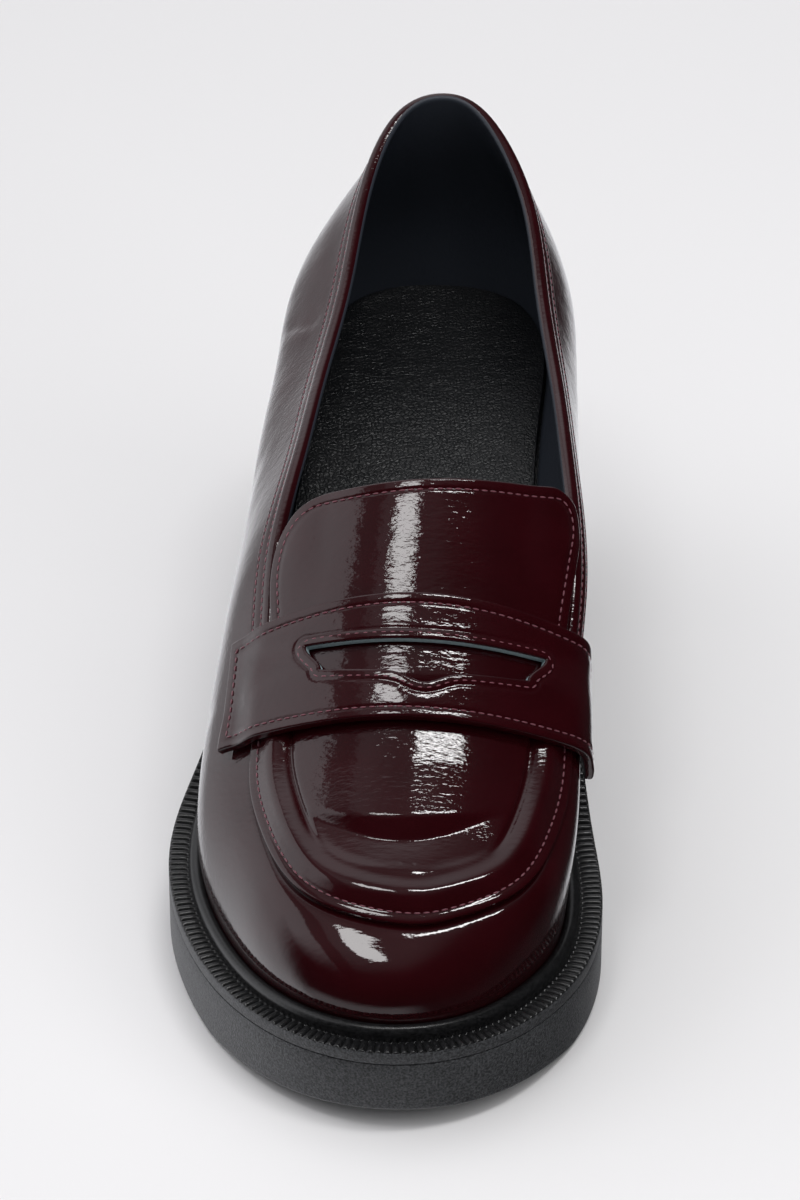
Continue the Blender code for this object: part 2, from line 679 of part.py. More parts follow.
def make_strap(point):
    """A band over the instep. Its rows run from its front edge to its back edge, and the slot's cells are left out."""
    grid = []
    ends = STRAP_END_COLUMNS
    places = [("end", -1, k / ends) for k in range(ends)]
    places += [("slot", share, 0) for share in np.linspace(-1, 1, SLOT_COLUMNS)]
    places += [("end", 1, k / ends) for k in range(ends - 1, -1, -1)]
    for kind, share, run in places:
        front, back = slot_edges(share if kind == "slot" else math.copysign(1, share))
        column = []
        for width in (*STRAP_BANDS[0], front, back, *STRAP_BANDS[1]):
            slot_reach = SLOT_FRONT_REACH + (SLOT_BACK_REACH - SLOT_FRONT_REACH) * smooth(front, back, width)
            slot_end = SLOT_MIDDLE + share * slot_reach
            if kind == "slot":
                reach = slot_end
            else:
                reach = share * STRAP_REACH + (slot_end - share * STRAP_REACH) * run
            bow = (reach / STRAP_REACH) ** 2
            front_edge = STRAP_FRONT - STRAP_FRONT_BOW * bow
            back_edge = STRAP_BACK - STRAP_BACK_BOW * bow
            along = front_edge + width * (back_edge - front_edge)
            over = STRAP_HIGH + STRAP_OVER_APRON * (1 - smooth(0.0, STRAP_OVER_TO, width))
            over *= 1 - smooth(STRAP_EASES, STRAP_REACH - 4, abs(reach))
            column.append(lifted(point, along, reach, GAP + STRAP_LOW + over))
        grid.append(column)
    rows, across = len(grid), len(grid[0])
    slot_cells = range(ends, ends + SLOT_COLUMNS - 1)
    slot_band = len(STRAP_BANDS[0])
    faces = [
        face
        for k, face in enumerate(sheet_faces(rows, across))
        if not (k // (across - 1) in slot_cells and k % (across - 1) == slot_band)
    ]
    points = np.array(grid).reshape(-1, 3)
    shell("strap", points, faces, np.full(len(points), STRAP_THICK), 0.0, "patent_leather")


def main():
    for old in list(bpy.data.objects):
        bpy.data.objects.remove(old)
    bpy.context.scene.collection.objects.link(bpy.data.objects.new("shoe", None))
    point = skin_maker()
    make_upper()
    make_outsole()
    make_welt()
    make_insole()
    make_heel()
    make_tongue(point)
    make_strap(point)


main()
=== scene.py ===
"""The looks of a women's loafer pump: the right shoe of a pair, empty, standing on a pale studio floor.

Sizes are in millimetres. "along" runs from the back of the heel to the toe, "across" is positive
towards the medial side, and "up" is the height over the floor. "reach" is measured over the skin from
the crest of the instep, positive towards the medial side. In the model the toe points to -Y and the
medial side is +X.
"""

import math
from collections import namedtuple

import bmesh
import bpy
import numpy as np
from bpy.props import FloatProperty, FloatVectorProperty, IntProperty, PointerProperty
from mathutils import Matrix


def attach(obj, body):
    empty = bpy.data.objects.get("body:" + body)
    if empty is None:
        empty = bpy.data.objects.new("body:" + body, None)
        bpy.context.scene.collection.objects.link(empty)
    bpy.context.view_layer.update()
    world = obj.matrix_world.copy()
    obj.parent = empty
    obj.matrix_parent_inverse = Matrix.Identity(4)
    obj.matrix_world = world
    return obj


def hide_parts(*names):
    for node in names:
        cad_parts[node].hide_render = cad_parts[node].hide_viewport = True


bl_info = {
    "name": "Loafer pump",
    "version": (1, 0, 0),
    "blender": (4, 5, 0),
    "location": "3D View > Sidebar > Loafer",
    "description": "Builds the leather, thread, sole, heel and stage of a loafer pump round its packed model",
    "category": "Object",
}

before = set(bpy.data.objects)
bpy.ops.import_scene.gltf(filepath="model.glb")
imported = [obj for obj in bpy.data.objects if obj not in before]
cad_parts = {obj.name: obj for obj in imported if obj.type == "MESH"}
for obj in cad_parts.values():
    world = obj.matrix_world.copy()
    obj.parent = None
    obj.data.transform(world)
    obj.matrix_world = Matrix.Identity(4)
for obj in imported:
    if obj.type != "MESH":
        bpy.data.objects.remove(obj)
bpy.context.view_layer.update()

MM = 0.001
WELDS_WITHIN = 0.000002
LENGTH_CENTRE = 122.0
WIDTH_CENTRE = -4.0
GAP = 0.3
WALL = 2.0
INSOLE_THICK = 3.5
SOCK_RIM = 0.4
SOCK_CUP = 1.3
SOCK_ACROSS = 30
WELT_THICK = 3.3
WELT_CLEAR = 0.05
WIDEST_WELT = 8.2
BEAD_RISE = 3.2
BEAD_WIDTH = 3.2
BEAD_ENDS = 0.7
BEAD_LEAST = 0.45
BAND_FALL = 0.35
SOLE_EDGE = 1.2

THROAT = 176.0
TONGUE_TOP = 135.0
TONGUE_BOW = 9.0
TONGUE_SKEW = 2.4
TONGUE_THICK = 1.6
TONGUE_LIFT = 1.2
TONGUE_SHORT = 1.4
TONGUE_REACH = 39.0
TONGUE_MIDDLE = -0.5
TONGUE_NARROWS = 6.0
TONGUE_CORNERS = (17.0, 10.0)
TONGUE_STRETCH = 1.2
STRAP_FRONT = 183.0
STRAP_BACK = 157.2
STRAP_FRONT_BOW = 8.5
STRAP_BACK_BOW = 5.0
STRAP_REACH = 48.0
STRAP_THICK = 2.0
STRAP_LOW = 0.2
STRAP_HIGH = 1.9
STRAP_OVER_APRON = 1.3
STRAP_OVER_FROM = 0.38
STRAP_OVER_TO = 0.8
STRAP_FRONT_DIP = 0.6
STRAP_EASES = 35.0
STRAP_FLARE = 0.9
STRAP_STRETCH = 1.19
SLOT_MIDDLE = 2.0
SLOT_BACK_REACH = 26.0
SLOT_FRONT_REACH = 21.6
SLOT_FRONT = (0.375, 0.065)
SLOT_BACK = (0.63, 0.043)
SLOT_PEAK = 0.085
SLOT_PEAK_HALF = 0.2
SLOT_SEAM = 1.7
EDGE_RADIUS = 0.6
SEAM_GROOVE = 0.22
SEAM_HALF = 0.45
THREAD_SINKS = 0.1
THREAD_OVER = 0.12

APRON_STEP = 1.3
APRON_SEAM = 1.9
RIDGE_IN = 5.4
RIDGE_RISE = 1.5
RIDGE_HALF = 2.4
CREASE_IN = 9.0
CREASE_DEPTH = 0.8
CREASE_HALF = 0.7

HEEL_BREAST = 61.0
TOP_LIFT_THICK = 6.0
HEEL_TAPER = 0.9
HEEL_BACK_RAKE = 5.0
HEEL_BREAST_RAKE = 5.0
HEEL_INSET = 0.8

# How far inside the sole's edge and how high each corner of the welt's and the top lift's side is.
WELT_SIDE = ((0.5, -0.2), (0.15, -0.15), (0.0, 0.1), (0.0, WELT_THICK - 0.8), (0.1, WELT_THICK - 0.4))
LIFT_SIDE = ((0.8, 0.0), (0.3, 0.15), (0.0, 0.6), (0.0, TOP_LIFT_THICK - 0.3), (0.3, TOP_LIFT_THICK))
# The outsole's corners: inset, share of the height from its underside to its top, and what is added.
SOLE_SIDE = (
    (SOLE_EDGE, 0.0, 0.0),
    (0.75, 0.0, 0.12),
    (0.35, 0.0, 0.4),
    (0.1, 0.0, 0.8),
    (0.0, 0.0, SOLE_EDGE),
    (0.0, 0.33, 0.6),
    (0.0, 0.66, 0.0),
    (0.0, 1.0, -0.3),
    (0.12, 1.0, -0.06),
    (0.6, 1.0, 0.0),
)


def table(columns, *rows):
    """Rows whose columns have names."""
    row_kind = namedtuple("Row", columns)
    return [row_kind(*row) for row in rows]


# Where the upper meets the sole.
FEATHER = table(
    "place along medial lateral top under welt",
    ("heel back", 3.6, 0.0, 0.0, 64.0, 58.5, 3.6),
    ("heel corner", 8.5, 19.0, 19.0, 63.7, 58.2, 3.6),
    ("heel side", 24.0, 27.5, 28.5, 62.5, 57.2, 3.6),
    ("breast", 50.0, 28.5, 30.5, 59.0, 53.6, 3.8),
    ("waist", 80.0, 28.0, 32.5, 49.5, 43.5, 4.2),
    ("arch", 110.0, 30.0, 36.5, 34.5, 27.0, 5.0),
    ("instep", 138.0, 32.5, 41.0, 20.0, 8.5, 6.8),
    ("ball", 160.0, 34.5, 44.8, 14.6, -1.2, 8.0),
    ("fore ball", 182.0, 36.9, 43.6, 14.1, -1.6, 8.2),
    ("toe side", 203.0, 34.7, 36.9, 14.5, -1.0, 8.2),
    ("toe corner", 219.5, 26.9, 27.2, 15.9, 1.8, 8.2),
    ("toe shoulder", 231.0, 15.3, 14.6, 17.3, 3.8, 8.2),
    ("toe tip", 235.8, -0.8, 0.8, 18.2, 5.3, 8.2),
)

# The widest line of the upper.
GIRTH = table(
    "place along medial lateral up",
    ("heel back", 0.6, 0.3, -0.3, 85.0),
    ("heel corner", 6.5, 21.5, 22.0, 83.0),
    ("heel side", 24.0, 31.0, 33.0, 79.0),
    ("breast", 50.0, 34.5, 36.3, 74.5),
    ("waist", 80.0, 35.8, 38.3, 70.0),
    ("arch", 110.0, 36.8, 40.2, 63.0),
    ("instep", 138.0, 36.7, 42.8, 55.0),
    ("ball", 160.0, 37.0, 43.8, 47.0),
    ("fore ball", 182.0, 38.3, 43.7, 38.0),
    ("toe side", 203.5, 36.8, 37.9, 33.0),
    ("toe corner", 221.0, 28.2, 28.6, 30.0),
    ("toe shoulder", 232.6, 16.0, 15.4, 30.5),
    ("toe tip", 237.4, -0.8, 0.8, 31.0),
)

# The edge of the opening, which runs on as the apron's edge.
TOP_LINE = table(
    "place along medial lateral up lean",
    ("heel back", 6.0, 0.8, -0.8, 122.0, 6.0),
    ("heel corner", 11.0, 11.5, 10.0, 119.0, 14.0),
    ("heel side", 27.0, 20.2, 16.0, 111.0, 24.0),
    ("breast", 53.0, 25.6, 19.5, 99.0, 28.0),
    ("waist", 82.0, 30.2, 23.6, 91.5, 30.0),
    ("arch", 111.0, 33.6, 26.6, 87.5, 38.0),
    ("instep", 140.0, 35.8, 30.0, None, None),
    ("ball", 160.0, 35.4, 30.4, None, None),
    ("fore ball", 180.0, 37.0, 33.0, None, None),
    ("toe side", 199.0, 34.4, 29.6, None, None),
    ("toe corner", 214.5, 27.5, 22.0, None, None),
    ("toe shoulder", 222.3, 15.6, 10.2, None, None),
    ("toe tip", 224.8, 3.0, -3.0, None, None),
)

# The crown: its highest line, and how far it has fallen 30 mm to either side.
CREST = table(
    "along up across fall",
    (110.0, 114.5, 3.5, 16.5),
    (125.0, 104.0, 3.5, 15.0),
    (136.0, 96.0, 3.3, 13.6),
    (147.0, 88.0, 3.0, 12.4),
    (158.0, 79.8, 2.8, 11.6),
    (171.0, 71.2, 2.6, 11.0),
    (184.0, 63.6, 2.5, 10.2),
    (197.0, 57.0, 2.5, 8.8),
    (208.0, 51.6, 2.6, 7.4),
    (217.0, 46.8, 2.8, 6.2),
    (225.0, 41.4, 3.0, 5.2),
    (232.0, 35.8, 3.0, 4.6),
)
CREST_HALF = 30.0
JOINS_CROWN = (132.0, 146.0)
FOLLOWS_CROWN = (140.0, 178.0)
HIDDEN_LEAN = 55.0

# Fineness of the skins.
UPPER_COLUMNS = (96, 72)
COLLAR_DEPTHS = (
    (0.0, 0.12, 0.3, 0.55, 0.85, 1.2, 1.6, 2.0, 2.5, 3.0, 3.5, 4.0, 4.4, 4.8, 5.2, 5.6)
    + (6.0, 6.4, 6.7, 6.9, 7.1, 7.3, 7.6, 8.0, 8.6, 9.4)
)
WALL_BELOW = 34
APRON_INSETS = (
    (0.1, 0.25, 0.45, 0.7, 1.0, 1.35, 1.7, 2.05, 2.4, 2.8, 3.3, 3.8, 4.3, 4.8, 5.3, 5.8)
    + (6.3, 6.8, 7.3, 7.7, 8.1, 8.4, 8.7, 9.0, 9.3, 9.6, 9.9, 10.3, 11.0, 11.8)
)
APRON_ACROSS = 44
SKIN_FROM = 100
SKIN_TO = 206
SKIN_REACH = 58


def spline(knots, values, closed=False):
    """A cubic spline through the values, as a function of the knots' own measure."""
    knots = np.asarray(knots, float)
    values = np.asarray(values, float)
    values = values.reshape(len(values), -1)
    spans = np.diff(knots)
    count, size = len(spans), len(values)
    system = np.zeros((size, size)) if closed else np.eye(size)
    right = np.zeros_like(values)
    for i in range(0 if closed else 1, count):
        before, after = spans[i - 1], spans[i]
        last, following = i - 1, (i + 1) % size
        system[i, i] = 2 * (before + after)
        system[i, last] += before
        system[i, following] += after
        rise = (values[following] - values[i]) / after
        right[i] = 6 * (rise - (values[i] - values[last]) / before)
    bends = np.linalg.solve(system, right)
    if closed:
        bends = np.vstack([bends, bends[:1]])
        values = np.vstack([values, values[:1]])

    def at(where):
        where = np.atleast_1d(np.asarray(where, float))
        if closed:
            where = where % knots[-1]
        i = np.clip(np.searchsorted(knots, where, side="right") - 1, 0, count - 1)
        span = spans[i][:, None]
        rest, gone = (knots[i + 1] - where)[:, None], (where - knots[i])[:, None]
        curve = (bends[i] * rest**3 + bends[i + 1] * gone**3) / (6 * span)
        start = (values[i] / span - bends[i] * span / 6) * rest
        end = (values[i + 1] / span - bends[i + 1] * span / 6) * gone
        return curve + start + end

    return at


def around(rows, *columns):
    """Control values round the shoe: heel, medial side, toe, lateral side."""
    medial = [[row.medial, *(getattr(row, name) for name in columns)] for row in rows]
    lateral = [[-row.lateral, *(getattr(row, name) for name in columns)] for row in rows]
    return np.array(medial + lateral[-2:0:-1], float)


def smooth(low, high, value):
    """0 below low, 1 above high, and an even curve between."""
    share = np.clip((np.asarray(value, float) - low) / (high - low), 0, 1)
    return share * share * (3 - 2 * share)


def bump(value, centre, half):
    """A soft ridge, 1 at its centre."""
    return np.exp(-(((value - centre) / half) ** 2))


def unit(vectors):
    """The same directions, with length 1."""
    return vectors / np.linalg.norm(vectors, axis=-1, keepdims=True)


def gone_along(line):
    """The distance gone at each place of a line."""
    return np.r_[0.0, np.cumsum(np.linalg.norm(np.diff(line, axis=0), axis=1))]


crest_line = spline([row.along for row in CREST], [[row.up, row.across, row.fall] for row in CREST])


def crown(across, along):
    """Height of the crown, the smooth top of the last, over a point of the plan."""
    up, middle, fall = crest_line(along).T
    return up - fall * ((across - middle) / CREST_HALF) ** 2


def top_rows():
    """TOP_LINE with its blank heights and leans filled in from the crown."""
    rows = []
    for row in TOP_LINE:
        if row.up is None:
            up = crown(np.array([row.medial, -row.lateral]), np.array([row.along] * 2)).mean()
            row = row._replace(up=float(up), lean=HIDDEN_LEAN)
        rows.append(row)
    return rows


plan = around(FEATHER, "along")
LAP = gone_along(np.vstack([plan, plan[:1]]))
SIDE_ROWS = len(FEATHER)
feather_line = spline(LAP, around(FEATHER, "along", "top", "under", "welt"), closed=True)
girth_line = spline(LAP, around(GIRTH, "along", "up"), closed=True)
top_line = spline(LAP, around(top_rows(), "along", "up", "lean"), closed=True)


def ring_places(columns):
    """Places round the shoe, as many on each side, so that the two sides pair up into cross sections."""
    behind, ahead = columns
    toe = LAP[SIDE_ROWS - 1]
    sides = []
    for heel in (0.0, LAP[-1]):
        fine = np.linspace(heel, toe, 2000)
        throat = np.interp(THROAT, top_line(fine)[:, 1], fine)
        sides.append(np.r_[np.linspace(heel, throat, behind + 1), np.linspace(throat, toe, ahead + 1)[1:]])
    medial, lateral = sides
    return np.concatenate([medial, lateral[-2:0:-1]])


def plan_normals(points):
    """Unit vectors in plan that point out of a closed ring of points."""
    run = np.roll(points[:, :2], -1, axis=0) - np.roll(points[:, :2], 1, axis=0)
    return unit(np.stack([run[:, 1], -run[:, 0]], axis=1))


def ring(places):
    """Everything that a cross section needs, for each place round the shoe."""
    feather = feather_line(places)
    girth = girth_line(places)
    top = top_line(places)
    crowned = smooth(*JOINS_CROWN, top[:, 1])
    top[:, 2] += crowned * (crown(top[:, 0], top[:, 1]) - top[:, 2])
    inward = -plan_normals(top)
    rise = crown(top[:, 0] + inward[:, 0], top[:, 1] + inward[:, 1]) - crown(top[:, 0], top[:, 1])
    lean = np.radians(top[:, 3])
    leaning = np.column_stack([inward * np.sin(lean)[:, None], np.cos(lean)])
    along_crown = unit(np.column_stack([inward, rise]))
    blend = smooth(*FOLLOWS_CROWN, top[:, 1])[:, None]
    return {
        "foot": feather[:, :3] + [0, 0, GAP],
        "sole": feather[:, :3],
        "under": np.maximum(feather[:, 3], 0.0),
        "welt": feather[:, 4],
        "out": plan_normals(feather),
        "girth": girth,
        "top": top[:, :3],
        "top_in": inward,
        "top_run": unit(leaning * (1 - blend) + along_crown * blend),
    }


def wall_points(section, height):
    """A ring of the upper's outer face. height, one or one for each place, is 0 at the feather, 1 at
    the girth and 2 at the top line."""
    foot, girth, top = section["foot"], section["girth"], section["top"]
    low = np.linalg.norm(girth - foot, axis=1, keepdims=True)
    high = np.linalg.norm(top - girth, axis=1, keepdims=True)
    low_run, high_run = (girth - foot) / low, (top - girth) / high
    end = section["top_run"]
    total = 3 * (low * high_run + high * low_run) - low * end - 1.5 * high * low_run
    middle = total / (2 * low + 1.5 * high)
    start = (3 * low_run - middle) / 2
    height = np.broadcast_to(np.asarray(height, float), (len(foot),))[:, None]
    below = height <= 1
    a, b = np.where(below, foot, girth), np.where(below, girth, top)
    first, last = np.where(below, start, middle), np.where(below, middle, end)
    span = np.where(below, low, high)
    t = np.where(below, height, height - 1)
    t2, t3 = t * t, t * t * t
    ends = (2 * t3 - 3 * t2 + 1) * a + (3 * t2 - 2 * t3) * b
    return ends + span * ((t3 - 2 * t2 + t) * first + (t3 - t2) * last)


def on_crown(points):
    """The same plan points, moved up or down to the crown."""
    return np.column_stack([points[:, 0], points[:, 1], crown(points[:, 0], points[:, 1])])


def skin_table(rows=18):
    """Places on the outside of the last, one for each millimetre along and each millimetre of reach."""
    section = ring(ring_places(UPPER_COLUMNS))
    count = 2 * sum(UPPER_COLUMNS)
    walls = np.array([wall_points(section, height) for height in np.linspace(2, 0.4, rows)])
    alongs = np.arange(SKIN_FROM, SKIN_TO + 1, dtype=float)
    reaches = np.arange(0, SKIN_REACH + 1, dtype=float)
    halves = []
    for side in (np.arange(0, count // 2 + 1), np.r_[0, np.arange(count - 1, count // 2 - 1, -1)]):
        stations = section["top"][side][:, 1]
        useful = (stations > SKIN_FROM - 12) & (stations < SKIN_TO + 8)
        knots = stations[useful]
        values = walls[:, side[useful]].transpose(1, 0, 2).reshape(len(knots), -1)
        down = spline(knots, values)(alongs).reshape(len(alongs), rows, 3)
        half = []
        for along, fall in zip(alongs, down):
            middle = crest_line(along)[0, 1]
            across = np.linspace(middle, fall[0][0], rows + 1)[:-1]
            path = np.vstack([on_crown(np.column_stack([across, np.full(rows, fall[0][1])])), fall])
            half.append(spline(gone_along(path), path)(reaches))
        halves.append(np.array(half))
    medial, lateral = halves
    return np.concatenate([lateral[:, :0:-1], medial], axis=1)


SKIN = skin_table()


def skin_point(along, reach):
    """Places on the last's outside, smooth between the table's millimetres."""
    along, reach = np.broadcast_arrays(np.asarray(along, float), np.asarray(reach, float))
    u, v = along - SKIN_FROM, reach + SKIN_REACH
    i = np.clip(np.floor(u).astype(int), 1, SKIN.shape[0] - 3)
    j = np.clip(np.floor(v).astype(int), 1, SKIN.shape[1] - 3)
    weights = []
    for t in (u - i, v - j):
        t2, t3 = t * t, t * t * t
        before = (-t3 + 2 * t2 - t) / 2, (3 * t3 - 5 * t2 + 2) / 2
        weights.append((*before, (-3 * t3 + 4 * t2 + t) / 2, (t3 - t2) / 2))
    found = np.zeros(along.shape + (3,))
    for a in range(4):
        for b in range(4):
            found += (weights[0][a] * weights[1][b])[..., None] * SKIN[i + a - 1, j + b - 1]
    return found


def skin_normal(along, reach):
    """Directions square to the skin, outwards."""
    ahead = skin_point(along + 2.0, reach) - skin_point(along - 2.0, reach)
    aside = skin_point(along, reach + 2.0) - skin_point(along, reach - 2.0)
    return unit(np.cross(aside, ahead))


def laid(along, reach, over):
    """Places that stand over the skin, and the directions square to it there."""
    square = skin_normal(along, reach)
    return skin_point(along, reach) + square * over[..., None], square


def model_points(points):
    """Shoe measures in millimetres to model places in metres."""
    across, along, up = np.moveaxis(np.asarray(points, float), -1, 0)
    return np.stack([across - WIDTH_CENTRE, LENGTH_CENTRE - along, up], axis=-1) * MM


def distance_to(points, line):
    """Distance of each point to a line of places, in millimetres."""
    start, end = line[:-1], line[1:]
    run = end - start
    best = np.full(len(points), 1e9)
    for a, r in zip(start, run):
        share = np.clip(((points - a) @ r) / max(float(r @ r), 1e-12), 0, 1)
        best = np.minimum(best, np.linalg.norm(points - a - share[:, None] * r, axis=1))
    return best


def spaced(gone, pitch):
    """Distances at an even pitch along a line."""
    count = max(2, int(gone[-1] / pitch))
    return (np.arange(count) + 0.5) * gone[-1] / count


def read_along(line, gone, where):
    """What stands in a line's columns at some distances along it."""
    return np.stack([np.interp(where, gone, column) for column in line.T], axis=-1)


# Mesh making.


def linear(code):
    """An sRGB hex colour as linear red, green and blue."""
    shares = [int(code[i : i + 2], 16) / 255 for i in (1, 3, 5)]
    return tuple(s / 12.92 if s <= 0.04045 else ((s + 0.055) / 1.055) ** 2.4 for s in shares)


def deselect_all():
    """Leaves nothing selected, so that an operator works on one piece alone."""
    for other in list(bpy.context.selected_objects):
        other.select_set(False)


def chosen(piece):
    """Makes a piece the only selected and the active one."""
    deselect_all()
    piece.select_set(True)
    bpy.context.view_layer.objects.active = piece


def grown(name, points, faces, finishes, kinds=None, sharp=50.0):
    """A piece from points in shoe measures. kinds gives each face's place in finishes."""
    mesh = bpy.data.meshes.new(name)
    mesh.from_pydata(model_points(points).tolist(), [], [list(face) for face in faces])
    for finish_name in finishes:
        mesh.materials.append(finish(finish_name))
    if kinds is not None:
        mesh.polygons.foreach_set("material_index", np.asarray(kinds, np.int32))
    shaped = bmesh.new()
    shaped.from_mesh(mesh)
    bmesh.ops.remove_doubles(shaped, verts=shaped.verts, dist=WELDS_WITHIN)
    bmesh.ops.recalc_face_normals(shaped, faces=shaped.faces)
    if shaped.calc_volume(signed=True) < 0:
        bmesh.ops.reverse_faces(shaped, faces=shaped.faces)
    shaped.to_mesh(mesh)
    shaped.free()
    made = bpy.data.objects.new(name, mesh)
    bpy.context.scene.collection.objects.link(made)
    chosen(made)
    bpy.ops.object.shade_smooth_by_angle(angle=math.radians(sharp))
    return made


def settle(piece, slot, *nodes):
    """Hangs a finished piece on the root body and hides the CAD parts that it stands for. slot is not used.
    """
    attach(piece, "root")
    if nodes:
        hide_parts(*nodes)


def skinned(loops):
    """Points and faces of a skin over closed loops of equal length."""
    count = len(loops[0])
    faces = []
    for low in range(0, (len(loops) - 1) * count, count):
        for i in range(count):
            j = (i + 1) % count
            faces.append((low + i, low + j, low + count + j, low + count + i))
    return np.vstack(loops), faces


def capped(loops):
    """The same skin, with a flat face over its first loop and its last."""
    points, faces = skinned(loops)
    count = len(loops[0])
    return points, [*faces, tuple(range(count)), tuple(range(len(points) - count, len(points)))]


def laddered(points, pairs, across, shaped):
    """Adds rungs of places between pairs of a skin's points. A pair of one point twice is where the two
    sides meet. shaped moves a straight rung's places to where they belong."""
    share = np.linspace(0, 1, across + 1)[1:-1, None]
    faces, rung = [], None
    for first, last in pairs:
        if first == last:
            new = [first] * (across + 1)
        else:
            new = [first, *range(len(points), len(points) + across - 1), last]
            line = points[first] * (1 - share) + points[last] * share
            points = np.vstack([points, shaped(line, share[:, 0], points[first])])
        if rung is not None:
            quads = zip(rung[:-1], new[:-1], new[1:], rung[1:])
            faces += [tuple(dict.fromkeys(quad)) for quad in quads]
        rung = new
    return points, faces


def ladder(count, first):
    """Faces that close a loop of points by pairing its medial and lateral sides."""
    faces = []
    for i in range(count // 2):
        quad = [first + i, first + i + 1, first + count - i - 1, first + (count - i) % count]
        faces.append(tuple(dict.fromkeys(quad)))
    return faces


def sheet_faces(rows, across):
    """The faces of a grid of points, row by row."""
    return [
        (r * across + c, r * across + c + 1, (r + 1) * across + c + 1, (r + 1) * across + c)
        for r in range(rows - 1)
        for c in range(across - 1)
    ]


def sheet_normals(points, faces):
    """Directions square to a sheet at each of its points."""
    points = np.asarray(points, float)
    total = np.zeros_like(points)
    by_size = {}
    for face in faces:
        by_size.setdefault(len(face), []).append(face)
    for group in by_size.values():
        corners = np.array(group)
        square = np.zeros((len(corners), 3))
        for i in range(1, corners.shape[1] - 1):
            first = points[corners[:, i]] - points[corners[:, 0]]
            second = points[corners[:, i + 1]] - points[corners[:, 0]]
            square += np.cross(first, second)
        for i in range(corners.shape[1]):
            np.add.at(total, corners[:, i], square)
    return unit(total)


def rim_edges(faces):
    """The edges that only one face has, in the direction that face runs."""
    seen = {}
    for face in faces:
        for a, b in zip(face, (*face[1:], face[0])):
            if (b, a) in seen:
                del seen[(b, a)]
            else:
                seen[(a, b)] = True
    return list(seen)


def walled(name, points, faces, finishes, outer_lift, inner_drop=0.0, rim_kind=None):
    """A leather wall: a sheet lifted on its outside and dropped on its inside, joined at its rims.
    finishes are those of the outside, the inside and the rim."""
    square = sheet_normals(points, faces)
    count = len(points)
    outer = points + square * outer_lift[:, None]
    inner = points - square * np.asarray(inner_drop)[..., None]
    rims = rim_edges(faces)
    skins = [*faces, *(tuple(i + count for i in reversed(face)) for face in faces)]
    skins += [(b, a, a + count, b + count) for a, b in rims]
    kinds = [0] * len(faces) + [1] * len(faces)
    kinds += [2 if rim_kind is None else rim_kind(points[a], points[b]) for a, b in rims]
    return grown(name, np.vstack([outer, inner]), skins, finishes, kinds)


# Materials.


def added(tree, kind, inputs=None, **settings):
    """Adds a node with its settings. inputs holds values, or the sockets that lead to it."""
    node = tree.nodes.new(kind)
    for key, value in settings.items():
        setattr(node, key, value)
    for key, value in (inputs or {}).items():
        if isinstance(value, bpy.types.NodeSocket):
            tree.links.new(value, node.inputs[key])
        else:
            node.inputs[key].default_value = value
    return node


def new_finish(name, colour, values):
    """A material of one colour, with its tree and its shader. values are the shader's other constants."""
    made = bpy.data.materials.new(name)
    made.use_nodes = True
    made.diffuse_color = (*colour, 1)
    shader = made.node_tree.nodes["Principled BSDF"]
    shader.inputs["Base Color"].default_value = (*colour, 1)
    for socket, value in values.items():
        shader.inputs[socket].default_value = value
    return made, made.node_tree, shader


def stretched(tree, size_mm):
    """Object coordinates, scaled so that one unit of a pattern is this many millimetres each way."""
    place = added(tree, "ShaderNodeTexCoord")
    scale = tuple(1000.0 / size for size in size_mm)
    mapping = added(tree, "ShaderNodeMapping", {"Vector": place.outputs["Object"], "Scale": scale})
    return mapping.outputs["Vector"]


def grained(tree, shader, size_mm, depth_mm, detail=2.0, under=None, strength=1.0):
    """Gives a finish an uneven relief, on the one under it. Returns its pattern and its slopes."""
    inputs = {"Vector": stretched(tree, size_mm), "Scale": 1.0, "Detail": detail}
    pattern = added(tree, "ShaderNodeTexNoise", inputs).outputs["Fac"]
    inputs = {"Height": pattern, "Strength": strength, "Distance": depth_mm * MM}
    if under:
        inputs["Normal"] = under
    slopes = added(tree, "ShaderNodeBump", inputs).outputs["Normal"]
    tree.links.new(slopes, shader.inputs["Normal"])
    return pattern, slopes


def tinted(tree, shader, pattern, colour, shares, places=(0.0, 1.0)):
    """Colours a finish by a pattern, from one share of its colour to another."""
    ramp = added(tree, "ShaderNodeValToRGB", {"Fac": pattern})
    for stop, share, place in zip(ramp.color_ramp.elements, shares, places):
        stop.position = place
        stop.color = (*(min(1.0, part * share) for part in colour), 1)
    tree.links.new(ramp.outputs["Color"], shader.inputs["Base Color"])


# Where the leather's slack and its fine wrinkles begin and end, in metres, and their least share.
SLACK = (0.0, 0.04, 0.43)
WRINKLES = (-0.092, -0.078, 0.3)


